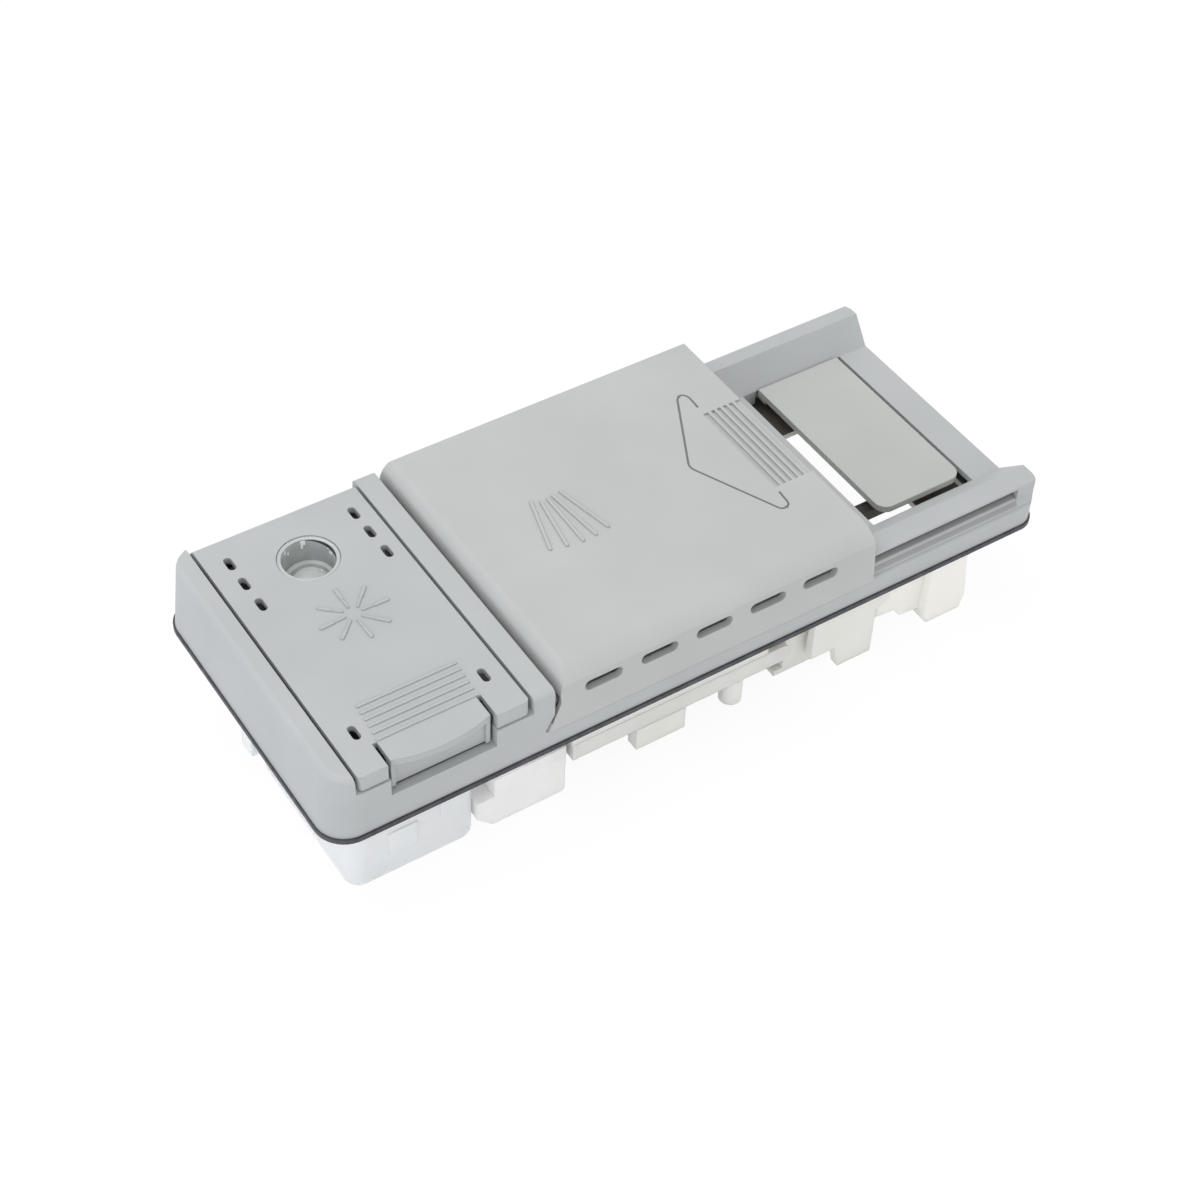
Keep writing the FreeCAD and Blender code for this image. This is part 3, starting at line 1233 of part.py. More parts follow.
PIECES = {
    "front_bezel": front_bezel,
    "door_gasket": door_gasket,
    "rinse_lid": rinse_lid,
    "sight_glass": sight_glass,
    "rinse_lid_seal": rinse_lid_seal,
    "rinse_hinge_pin": rinse_hinge_pin,
    "reservoir_cover": reservoir_cover,
    "filler_strainer": filler_strainer,
    "dosing_dial": dosing_dial,
    "reservoir_tank": reservoir_tank,
    "level_float": level_float,
    "reed_switch": reed_switch,
    "sliding_lid": sliding_lid,
    "lid_seal": lid_seal,
    "lid_spring": lid_spring,
    "release_paddle": release_paddle,
    "paddle_pin": paddle_pin,
    "release_lever": release_lever,
    "lid_latch": lid_latch,
    "lever_pin": lever_pin,
    "solenoid_coil": solenoid_coil,
    "solenoid_yoke": solenoid_yoke,
    "solenoid_plunger": solenoid_plunger,
    "plunger_spring": plunger_spring,
    "dosing_rod": dosing_rod,
    "valve_body": valve_body,
    "valve_gland": valve_gland,
    "rear_housing": rear_housing,
    "connector_housing": connector_housing,
    "terminal_blades": terminal_blades,
    "housing_screws": housing_screws,
}


def finish(label, piece):
    piece.Label = label
    return piece


built = {label: finish(label, make()) for label, make in PIECES.items()}
doc.recompute()

faults = [item.Label for item in doc.Objects if "Invalid" in item.State or "Error" in item.State]
faults += [label for label, piece in built.items() if piece.Shape.isNull() or not piece.Shape.isValid()]
if faults:
    raise RuntimeError(f"not built: {faults}")

os.makedirs("parts", exist_ok=True)
for label, piece in built.items():
    piece.Shape.exportStep(f"parts/{label}.step")
    print(label, round(piece.Shape.Volume), len(piece.Shape.Solids))
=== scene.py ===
import math

import bmesh
import bpy
from mathutils import Matrix, Vector


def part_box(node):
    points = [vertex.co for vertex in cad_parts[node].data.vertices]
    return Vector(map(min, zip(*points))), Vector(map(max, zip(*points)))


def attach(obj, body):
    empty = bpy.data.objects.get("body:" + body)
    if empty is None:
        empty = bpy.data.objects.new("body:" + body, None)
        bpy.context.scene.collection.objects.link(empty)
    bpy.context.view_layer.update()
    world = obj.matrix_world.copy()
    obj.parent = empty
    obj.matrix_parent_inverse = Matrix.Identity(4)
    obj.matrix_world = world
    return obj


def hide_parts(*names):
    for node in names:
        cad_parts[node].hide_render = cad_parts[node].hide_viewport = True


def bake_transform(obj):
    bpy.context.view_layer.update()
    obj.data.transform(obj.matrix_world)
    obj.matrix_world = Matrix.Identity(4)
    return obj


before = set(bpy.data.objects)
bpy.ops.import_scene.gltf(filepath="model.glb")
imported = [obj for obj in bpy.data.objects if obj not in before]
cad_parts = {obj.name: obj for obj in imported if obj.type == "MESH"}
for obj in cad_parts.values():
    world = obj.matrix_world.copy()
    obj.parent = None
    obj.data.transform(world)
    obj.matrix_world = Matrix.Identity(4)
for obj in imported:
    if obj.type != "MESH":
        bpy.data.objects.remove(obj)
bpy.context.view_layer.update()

# Metres, radians and watts, unless a name or a comment says otherwise.
SEAT = 0.034  # level of the face that lies on the door
RINSE_TOP = SEAT + 0.0223  # upper face of the rinse aid lid
SCREW_TOP = SEAT - 0.0038  # upper faces of the housing's screw heads


def linear(red, green, blue):
    """A colour written as on screen, 0 to 255, as the shader wants it."""
    out = []
    for part in (red, green, blue):
        c = part / 255
        out.append(c / 12.92 if c <= 0.04045 else ((c + 0.055) / 1.055) ** 2.4)
    return (*out, 1)


# Materials

EDGE = 0.0003  # bevel that the shader gives to sharp edges


def start_material(name):
    """A new material with its nodes, links and shader."""
    material = bpy.data.materials.new(name)
    material.use_nodes = True
    nodes = material.node_tree.nodes
    return material, nodes, material.node_tree.links, nodes["Principled BSDF"]


def coordinates(nodes, links, stretch=(1, 1, 1)):
    """The place on the object, stretched along its axes."""
    where = nodes.new("ShaderNodeTexCoord")
    mapping = nodes.new("ShaderNodeMapping")
    mapping.inputs["Scale"].default_value = stretch
    links.new(where.outputs["Object"], mapping.inputs["Vector"])
    return mapping.outputs["Vector"]


def noise(nodes, links, vector, scale, detail, rough=0.5):
    """Noise of a given number of cells to the metre."""
    texture = nodes.new("ShaderNodeTexNoise")
    texture.inputs["Scale"].default_value = scale
    texture.inputs["Detail"].default_value = detail
    texture.inputs["Roughness"].default_value = rough
    links.new(vector, texture.inputs["Vector"])
    return texture.outputs["Fac"]


def spread(nodes, links, source, low, high, start=0.3, end=0.7):
    """Map a noise value to a range."""
    ramp = nodes.new("ShaderNodeMapRange")
    ramp.inputs["From Min"].default_value = start
    ramp.inputs["From Max"].default_value = end
    ramp.inputs["To Min"].default_value = low
    ramp.inputs["To Max"].default_value = high
    links.new(source, ramp.inputs["Value"])
    return ramp.outputs["Result"]


def two_colours(nodes, links, source, dark, light, start=0.35, end=0.65):
    """A colour that goes from dark to light as a noise value goes from start to end."""
    ramp = nodes.new("ShaderNodeValToRGB")
    ramp.color_ramp.elements[0].position = start
    ramp.color_ramp.elements[0].color = dark
    ramp.color_ramp.elements[1].position = end
    ramp.color_ramp.elements[1].color = light
    links.new(source, ramp.inputs["Fac"])
    return ramp.outputs["Color"]


def shade(colour, factor):
    """The colour, darker or lighter by a factor."""
    return (*[min(1.0, c * factor) for c in colour[:3]], 1)


def relief(nodes, links, shader, height, strength, distance, edge=EDGE):
    """Bump from a height, over edges softened by a small bevel."""
    bump = nodes.new("ShaderNodeBump")
    bump.inputs["Strength"].default_value = strength
    bump.inputs["Distance"].default_value = distance
    links.new(height, bump.inputs["Height"])
    if edge:
        bevel = nodes.new("ShaderNodeBevel")
        bevel.samples = 4
        bevel.inputs["Radius"].default_value = edge
        links.new(bevel.outputs["Normal"], bump.inputs["Normal"])
    links.new(bump.outputs["Normal"], shader.inputs["Normal"])


def where_all(nodes, links, tests):
    """1 where every test holds, else 0.

    A test names place or facing, an axis, above or below, and a limit.
    """
    where = nodes.new("ShaderNodeTexCoord")
    place = nodes.new("ShaderNodeSeparateXYZ")
    links.new(where.outputs["Object"], place.inputs["Vector"])
    facing = nodes.new("ShaderNodeSeparateXYZ")
    links.new(where.outputs["Normal"], facing.inputs["Vector"])
    result = None
    for source, axis, side, limit in tests:
        test = nodes.new("ShaderNodeMath")
        test.operation = "GREATER_THAN" if side == "above" else "LESS_THAN"
        tested = place if source == "place" else facing
        links.new(tested.outputs[axis], test.inputs[0])
        test.inputs[1].default_value = limit
        if result is None:
            result = test.outputs[0]
            continue
        both = nodes.new("ShaderNodeMath")
        both.operation = "MULTIPLY"
        links.new(result, both.inputs[0])
        links.new(test.outputs[0], both.inputs[1])
        result = both.outputs[0]
    return result


def shaded_zone(nodes, links, colour, tests, low, high, stops):
    """Painted shade: dull a colour inside a zone, by amounts that change with height between two
    levels.
    """
    where = nodes.new("ShaderNodeTexCoord")
    place = nodes.new("ShaderNodeSeparateXYZ")
    links.new(where.outputs["Object"], place.inputs["Vector"])
    height = spread(nodes, links, place.outputs["Z"], 0, 1, low, high)
    ramp = nodes.new("ShaderNodeValToRGB")
    while len(ramp.color_ramp.elements) < len(stops):
        ramp.color_ramp.elements.new(0.5)
    for element, (level, amount) in zip(ramp.color_ramp.elements, stops):
        element.position = (level - low) / (high - low)
        element.color = (amount, amount, amount, 1)
    links.new(height, ramp.inputs["Fac"])
    mix = nodes.new("ShaderNodeMix")
    mix.data_type = "RGBA"
    mix.blend_type = "MULTIPLY"
    links.new(where_all(nodes, links, tests), mix.inputs["Factor"])
    links.new(colour, mix.inputs["A"])
    links.new(ramp.outputs["Color"], mix.inputs["B"])
    return mix.outputs["Result"]


def plastic(name, colour, rough=0.5, grain=1500, depth=0.25, zone=None):
    """Moulded plastic: faint flow marks, fine spark grain and patches that are worn smooth."""
    material, nodes, links, shader = start_material(name)
    vector = coordinates(nodes, links)
    broad = noise(nodes, links, vector, 28, 3)
    variation = 0.03
    tone = two_colours(nodes, links, broad, shade(colour, 1 - variation), shade(colour, 1 + variation))
    # A zone, if given, darkens the colour there: painted shade.
    if zone:
        tone = shaded_zone(nodes, links, tone, *zone)
    links.new(tone, shader.inputs["Base Color"])
    patch = noise(nodes, links, vector, 70, 2)
    links.new(spread(nodes, links, patch, rough - 0.05, rough + 0.05), shader.inputs["Roughness"])
    relief(nodes, links, shader, noise(nodes, links, vector, grain, 2, 0.6), depth, 0.00004)
    shader.inputs["IOR"].default_value = 1.49
    return material


# Faces of the housing that look up from just under the front, and the near-black painted shade that
# they take.
SHELF = [("place", "Z", "above", SEAT - 0.0048), ("place", "Z", "below", SEAT + 0.002),
         ("facing", "Z", "above", 0.5)]
SHELF_SHADE_COLOUR = (0.11, 0.1, 0.085, 1)


def milky(name, colour, rough, through, glow=0.0, painted_shelf_shade=False):
    """Unpigmented plastic: cloudy, with faint sink marks on the surface, and a glow that is painted
    light.
    """
    material, nodes, links, shader = start_material(name)
    vector = coordinates(nodes, links)
    cloud = noise(nodes, links, vector, 45, 4)
    tone = two_colours(nodes, links, cloud, shade(colour, 0.95), shade(colour, 1.05), 0.3, 0.7)
    # Painted shade: the shelf's faces take a near-black colour.
    if painted_shelf_shade:
        mask = where_all(nodes, links, SHELF)
        mix = nodes.new("ShaderNodeMix")
        mix.data_type = "RGBA"
        links.new(mask, mix.inputs["Factor"])
        links.new(tone, mix.inputs["A"])
        mix.inputs["B"].default_value = SHELF_SHADE_COLOUR
        tone = mix.outputs["Result"]
    links.new(tone, shader.inputs["Base Color"])
    patch = noise(nodes, links, vector, 90, 2)
    links.new(spread(nodes, links, patch, rough - 0.06, rough + 0.08), shader.inputs["Roughness"])
    # Painted light: the plastic glows in its own colour.
    if glow:
        links.new(tone, shader.inputs["Emission Color"])
        shader.inputs["Emission Strength"].default_value = glow
    shader.inputs["Subsurface Weight"].default_value = 0.5
    shader.inputs["Subsurface Radius"].default_value = (1.0, 1.0, 0.95)
    shader.inputs["Subsurface Scale"].default_value = 0.004
    shader.inputs["Transmission Weight"].default_value = through
    shader.inputs["IOR"].default_value = 1.45
    relief(nodes, links, shader, noise(nodes, links, vector, 160, 3), 0.3, 0.0002, 0.0004)
    return material


def rubber(name, colour):
    """Moulded seal: dusty bloom in the colour, uneven skin and small bright specks of flash."""
    material, nodes, links, shader = start_material(name)
    vector = coordinates(nodes, links)
    bloom = noise(nodes, links, vector, 260, 4)
    tone = two_colours(nodes, links, bloom, shade(colour, 0.8), shade(colour, 1.7), 0.4, 0.8)
    links.new(tone, shader.inputs["Base Color"])
    skin = noise(nodes, links, vector, 900, 2)
    links.new(spread(nodes, links, skin, 0.35, 0.65), shader.inputs["Roughness"])
    relief(nodes, links, shader, noise(nodes, links, vector, 1400, 3), 0.4, 0.00008)
    return material


def metal(name, colour, rough=0.28, stretch=(1, 1, 1)):
    """Drawn or turned metal: fine marks along the work and a slightly uneven polish."""
    material, nodes, links, shader = start_material(name)
    vector = coordinates(nodes, links, stretch)
    marks = noise(nodes, links, vector, 900, 4, 0.7)
    tone = two_colours(nodes, links, marks, shade(colour, 0.85), shade(colour, 1.1))
    links.new(tone, shader.inputs["Base Color"])
    links.new(spread(nodes, links, marks, rough - 0.08, rough + 0.12), shader.inputs["Roughness"])
    shader.inputs["Metallic"].default_value = 1.0
    relief(nodes, links, shader, marks, 0.25, 0.00003, 0.0002)
    return material


def clear(name, dark, light, through):
    """Clear moulded window over a pale inside: glossy, a little hazy, with faint ripples."""
    material, nodes, links, shader = start_material(name)
    vector = coordinates(nodes, links)
    haze = noise(nodes, links, vector, 60, 2)
    tone = two_colours(nodes, links, haze, (dark, dark * 1.06, dark * 1.05, 1),
                       (light, light * 1.04, light * 1.04, 1))
    links.new(tone, shader.inputs["Base Color"])
    shader.inputs["Roughness"].default_value = 0.07
    shader.inputs["Transmission Weight"].default_value = through
    shader.inputs["Coat Weight"].default_value = 0.6
    shader.inputs["Coat Roughness"].default_value = 0.03
    shader.inputs["IOR"].default_value = 1.5
    relief(nodes, links, shader, noise(nodes, links, vector, 420, 2), 0.8, 0.0005)
    return material


def winding(name, colour):
    """Enamelled wire wound in close turns round an upright bobbin."""
    material, nodes, links, shader = start_material(name)
    vector = coordinates(nodes, links)
    wave = nodes.new("ShaderNodeTexWave")
    wave.bands_direction = "Z"
    wave.inputs["Scale"].default_value = 260
    wave.inputs["Distortion"].default_value = 0.4
    links.new(vector, wave.inputs["Vector"])
    # Darker between the turns and lighter on them: painted shade and painted light.
    tone = two_colours(nodes, links, wave.outputs["Fac"], shade(colour, 0.45), shade(colour, 1.2),
                       0.1, 0.8)
    links.new(tone, shader.inputs["Base Color"])
    shader.inputs["Roughness"].default_value = 0.35
    shader.inputs["Metallic"].default_value = 0.6
    relief(nodes, links, shader, wave.outputs["Fac"], 0.8, 0.0002, 0)
    return material


# Zones with painted shade: the tests that bound them, their lowest and highest level, and the share
# of the colour that stays at each level between.
# Near guide rail, outside: painted shade on a line and the groove over it; the band kept between reads
# as a fine ridge.
RAIL_SHADE = ([("place", "X", "above", -0.0515), ("place", "X", "below", 0.1134),
         ("place", "Y", "below", -0.0445),
         ("place", "Z", "above", SEAT + 0.0067), ("place", "Z", "below", SEAT + 0.013)],
        SEAT + 0.0067, SEAT + 0.0131,
        [(SEAT + 0.007, 1.0), (SEAT + 0.0073, 0.72), (SEAT + 0.0084, 0.66), (SEAT + 0.0087, 1.0),
         (SEAT + 0.0091, 0.95), (SEAT + 0.0095, 0.42), (SEAT + 0.0109, 0.3), (SEAT + 0.013, 0.25)])
# Left end of the sliding lid, in the gap beside the strip: painted shade, darkest at the bottom.
LID_END_SHADE = ([("place", "X", "above", -0.053), ("place", "X", "below", -0.0485),
            ("facing", "X", "below", -0.5)],
           SEAT + 0.006, SEAT + 0.022,
           [(SEAT + 0.007, 0.25), (SEAT + 0.012, 0.55), (SEAT + 0.017, 0.8), (SEAT + 0.021, 1.0)])

# The record's finishes, and a few more for parts of pieces.
# The bezel's grey carries the near rail's painted shade.
GREY = plastic("grey_plastic", linear(183, 186, 187), zone=RAIL_SHADE)
# The sliding lid's grey carries painted shade on its left end.
LID_GREY = plastic("lid_grey", linear(187, 189, 188), zone=LID_END_SHADE)
# A darker copy of the lids' grey plastic for the rinse aid lid: painted shade against the light from
# the left.
RINSE_SHADED_GREY = plastic("rinse_lid_shaded_grey", linear(181, 185, 185))
# A darker copy of the lids' grey for the flanks of raised marks: painted shade.
RELIEF_SHADE = plastic("relief_painted_shade", linear(168, 170, 170))
PADDLE_GREY = plastic("paddle_grey", linear(187, 190, 186), 0.47)
INNER = plastic("inner_plastic", linear(196, 197, 195), 0.45)
STRAINER = plastic("strainer_plastic", linear(216, 216, 210), 0.45)
BLUE = plastic("blue_plastic", linear(38, 92, 190), 0.35, 900, 0.15)
DARK = plastic("dark_plastic", linear(63, 61, 55), 0.45)
# Black plastic; the same black makes the painted shade of the screw recesses.
BLACK = plastic("black_plastic", linear(30, 30, 31), 0.4)
FLOAT = plastic("float_plastic", linear(222, 214, 190), 0.6, 700, 0.6)
# The glows given to the milky plastics below are painted light.
TANK = milky("tank_plastic", linear(240, 243, 245), 0.32, 0.12, 0.035)
MILKY = milky("milky_plastic", linear(247, 247, 246), 0.38, 0.1, 0.075)
ROD = milky("rod_plastic", linear(238, 237, 233), 0.38, 0.1)
# The housing's shelf under the front takes painted shade.
HOUSING = milky("housing_plastic", linear(245, 244, 238), 0.38, 0.1, 0.02, True)
CONNECTOR = milky("connector_plastic", linear(250, 248, 242), 0.4, 0.08, 0.08)
GASKET = rubber("gasket_rubber", linear(58, 60, 66))
SEAL = rubber("seal_rubber", linear(92, 92, 94))
STEEL = metal("steel", linear(196, 197, 199))
IRON = metal("iron", linear(168, 168, 170), 0.4, (1, 1, 8))
WIRE = metal("spring_steel", linear(176, 176, 176), 0.25)
BRASS = metal("brass", linear(214, 184, 112), 0.25)
COIL = winding("coil_wrap", linear(168, 92, 44))
CLEAR = clear("clear_window", 0.46, 0.66, 0.25)
# A lighter copy of the clear plastic for the cup's floor and lens: painted light.
CLEAR_FLOOR_LIT = clear("clear_floor_lit", 0.66, 0.86, 0.1)
CLEAR_RIM = clear("clear_rim", 0.52, 0.58, 0.1)
# Bright and near-black copies for the sight glass: painted highlight and painted shade.
CLEAR_PAINTED_GLINT = clear("clear_painted_glint", 0.9, 0.94, 0.0)
CLEAR_EDGE_SHADE = clear("clear_edge_shade", 0.03, 0.05, 0.0)
# Dark grey for the arrow's line: painted shade, standing in for a groove.
ARROW_LINE_SHADE = plastic("arrow_line_shade", linear(112, 114, 114), 0.6)

LOOKS = {
    "front_bezel": GREY, "rinse_lid": RINSE_SHADED_GREY, "sliding_lid": LID_GREY,
    "release_paddle": PADDLE_GREY, "door_gasket": GASKET, "sight_glass": CLEAR,
    "rinse_lid_seal": SEAL, "rinse_hinge_pin": STEEL, "reservoir_cover": INNER,
    "filler_strainer": STRAINER, "dosing_dial": BLUE, "reservoir_tank": TANK,
    "level_float": FLOAT, "reed_switch": BLACK, "lid_seal": SEAL, "paddle_pin": STEEL,
    "release_lever": DARK, "lid_latch": BLUE, "lever_pin": STEEL, "solenoid_coil": COIL,
    "solenoid_yoke": STEEL, "solenoid_plunger": IRON, "dosing_rod": ROD, "valve_body": MILKY,
    "valve_gland": SEAL, "rear_housing": HOUSING, "connector_housing": CONNECTOR,
    "terminal_blades": BRASS, "housing_screws": STEEL,
}
for node, look in LOOKS.items():
    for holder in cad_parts[node].material_slots:
        holder.material = look


# Pieces that are made here

def finish_mesh(maker, name, turn_out=True):
    """The mesh of what a bmesh holds, with its faces turned outwards if asked."""
    if turn_out:
        bmesh.ops.recalc_face_normals(maker, faces=maker.faces)
    mesh = bpy.data.meshes.new(name)
    maker.to_mesh(mesh)
    maker.free()
    return mesh


def new_object(name, mesh, look, body):
    """A piece with its look and slot, riding on a body if one is named."""
    mesh.materials.append(look)
    piece = bpy.data.objects.new(name, mesh)
    bpy.context.scene.collection.objects.link(piece)
    if body:
        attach(piece, body)
    return piece


def tube_mesh(name, points, radius, sides):
    """A round wire along points, with its turning kept even."""
    maker = bmesh.new()
    rings = []
    normal = None
    count = len(points)
    for i, point in enumerate(points):
        ahead = (points[min(i + 1, count - 1)] - points[max(i - 1, 0)]).normalized()
        if normal is None:
            normal = ahead.orthogonal().normalized()
        normal = (normal - ahead * normal.dot(ahead)).normalized()
        side = ahead.cross(normal)
        ring = []
        for k in range(sides):
            turn = 2 * math.pi * k / sides
            out = normal * math.cos(turn) + side * math.sin(turn)
            ring.append(maker.verts.new(point + out * radius))
        rings.append(ring)
    for first, second in zip(rings, rings[1:]):
        for k in range(sides):
            after = (k + 1) % sides
            face = maker.faces.new((first[k], first[after], second[after], second[k]))
            face.smooth = True
    maker.faces.new(reversed(rings[0]))
    maker.faces.new(rings[-1])
    return finish_mesh(maker, name, turn_out=False)


def helix(start, along, across, length, radius, turns, steps):
    """Points of an even coil along an axis, with a number of steps to each turn."""
    other = along.cross(across)
    total = int(turns * steps)
    points = []
    for i in range(total + 1):
        part = i / total
        turn = 2 * math.pi * turns * part
        out = across * math.cos(turn) + other * math.sin(turn)
        points.append(start + along * (length * part) + out * radius)
    return points


def lid_spring():
    """The long tension spring in the far rail, which the sliding lid stretches as it runs; the coil is
    made at one length.
    """
    low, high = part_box("lid_spring")
    middle = (low + high) / 2
    start = Vector((low.x, middle.y, middle.z))
    length = high.x - low.x
    wire = 0.00022  # the wire's radius
    radius = (high.z - low.z) / 2 - wire
    turns, steps, sides = 105, 10, 6
    points = helix(start, Vector((1, 0, 0)), Vector((0, 0, 1)), length, radius, turns, steps)
    mesh = tube_mesh("lid_spring_coil", points, wire, sides)
    piece = new_object("lid_spring_coil", mesh, WIRE, None)
    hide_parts("lid_spring")
    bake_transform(piece)


def plunger_spring():
    """The compression spring round the solenoid's plunger."""
    low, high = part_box("plunger_spring")
    middle = (low + high) / 2
    wire = 0.0004  # the wire's radius
    start = Vector((middle.x, middle.y, low.z + wire))
    length = high.z - low.z - 2 * wire
    radius = (high.x - low.x) / 2 - wire
    turns, steps, sides = 4, 28, 8
    points = helix(start, Vector((0, 0, 1)), Vector((1, 0, 0)), length, radius, turns, steps)
    mesh = tube_mesh("plunger_spring_coil", points, wire, sides)
    piece = new_object("plunger_spring_coil", mesh, WIRE, None)
    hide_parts("plunger_spring")
    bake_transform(piece)


def rib_line(maker, path, width, height, level):
    """A low rounded rib along a flat path of points in millimetres."""
    section = ((-0.5, 0.0), (-0.3, 0.8), (0.0, 1.0), (0.3, 0.8), (0.5, 0.0))
    points = [Vector((x / 1000, y / 1000, level)) for x, y in path]
    rows = []
    for i, point in enumerate(points):
        back = (point - points[i - 1]).normalized() if i else None
        ahead = (points[i + 1] - point).normalized() if i + 1 < len(points) else None
        if back is None:
            along = ahead
        elif ahead is None:
            along = back
        else:
            along = (back + ahead).normalized()
        side = Vector((-along.y, along.x, 0))
        stretch = 1.0
        if back is not None and ahead is not None:
            stretch = 1 / max(0.5, side.dot(Vector((-back.y, back.x, 0))))
        row = []
        for across, up in section:
            out = side * (across * width * stretch) + Vector((0, 0, up * height))
            row.append(maker.verts.new(point + out))
        rows.append(row)
    for first, second in zip(rows, rows[1:]):
        for k in range(len(section) - 1):
            face = maker.faces.new((first[k], first[k + 1], second[k + 1], second[k]))
            face.smooth = True
    for row, flip in ((rows[0], False), (rows[-1], True)):
        maker.faces.new(row if flip else list(reversed(row)))


def rounded_path(corners, radius):
    """Corners in millimetres, each softened by a small bend."""
    steps = 5
    path = [corners[0]]
    for before, here, after in zip(corners, corners[1:], corners[2:]):
        back = Vector(before) - Vector(here)
        ahead = Vector(after) - Vector(here)
        reach = min(radius, back.length / 2, ahead.length / 2)
        enter = Vector(here) + back.normalized() * reach
        leave = Vector(here) + ahead.normalized() * reach
        for i in range(steps + 1):
            t = i / steps
            bend = enter * (1 - t) ** 2 + Vector(here) * (2 * t * (1 - t)) + leave * t ** 2
            path.append((bend.x, bend.y))
    path.append(corners[-1])
    return path


def arrow_mark():
    """The arrow's outline beside the grip of the sliding lid, a low rib in a dark grey that is painted
    shade of a groove.
    """
    maker = bmesh.new()
    corners = [(43.8, 21.7), (44.1, 27.3), (42.7, 29.2), (40.7, 28.3), (26.5, 1.3),
               (39.7, -27.2), (42.7, -26.6), (43.2, -20.6)]
    width, height = 0.0007, 0.00006
    rib_line(maker, rounded_path(corners, 2.0), width, height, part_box("sliding_lid")[1].z)
    new_object("arrow_mark", finish_mesh(maker, "arrow_mark"), ARROW_LINE_SHADE, "slider")


def low_bar(maker, start, end, width, height, level):
    """A low bar with round ends and sloping flanks, between two points in millimetres.

    The flanks take the mesh's second material, a darker grey that is painted shade.
    """
    first = Vector((start[0] / 1000, start[1] / 1000, level))
    last = Vector((end[0] / 1000, end[1] / 1000, level))
    along = (last - first).normalized()
    side = Vector((-along.y, along.x, 0))
    rings = []
    for share, up in ((1.0, -0.1), (0.84, 0.8), (0.56, 1.0)):
        ring = []
        for centre, base in ((last, -90), (first, 90)):
            for degrees in range(base, base + 181, 30):
                turn = math.radians(degrees)
                out = (along * math.cos(turn) + side * math.sin(turn)) * (width / 2 * share)
                ring.append(maker.verts.new(centre + out + Vector((0, 0, up * height))))
        rings.append(ring)
    count = len(rings[0])
    for low, high in zip(rings, rings[1:]):
        for k in range(count):
            after = (k + 1) % count
            face = maker.faces.new((low[k], low[after], high[after], high[k]))
            face.material_index = 1
    maker.faces.new(rings[-1])


def spray_mark():
    """Five spray lines on the sliding lid."""
    maker = bmesh.new()
    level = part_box("sliding_lid")[1].z
    width, height = 0.0013, 0.00048
    lines = [((-20.9, 12.6), (-26.3, -6.4)), ((-18.4, 11.1), (-21.4, -7.5)),
             ((-16, 11.1), (-16.4, -8.2)), ((-14.1, 11.4), (-12, -8)), ((-11.3, 11.7), (-7.3, -7.1))]
    for start, end in lines:
        low_bar(maker, start, end, width, height, level)
    mesh = finish_mesh(maker, "spray_mark")
    new_object("spray_mark", mesh, LID_GREY, "slider")
    mesh.materials.append(RELIEF_SHADE)


def star_mark():
    """Eight rays on the rinse aid lid, each wider and higher in its outer half."""
    maker = bmesh.new()
    rays = [((-91.8, 9.2), (-86.8, 4.7)), ((-94.6, 2.1), (-87.2, 2.4)),
            ((-84.5, 12.9), (-84.6, 5.4)), ((-77, 9.8), (-82.2, 4.2)),
            ((-73.9, 2.3), (-81.6, 2.5)), ((-77.4, -5), (-82.6, 0.4)),
            ((-84.3, -7.5), (-84.6, -0.3)), ((-91.5, -4.1), (-86.4, 0.6))]
    for tip, root in rays:
        middle = ((tip[0] + root[0]) / 2, (tip[1] + root[1]) / 2)
        for start, end, width, height in ((tip, middle, 0.0014, 0.00042),
                                          (middle, root, 0.001, 0.00036)):
            low_bar(maker, start, end, width, height, RINSE_TOP)
    mesh = finish_mesh(maker, "star_mark")
    new_object("star_mark", mesh, RINSE_SHADED_GREY, "rinse_flap")
    mesh.materials.append(RELIEF_SHADE)


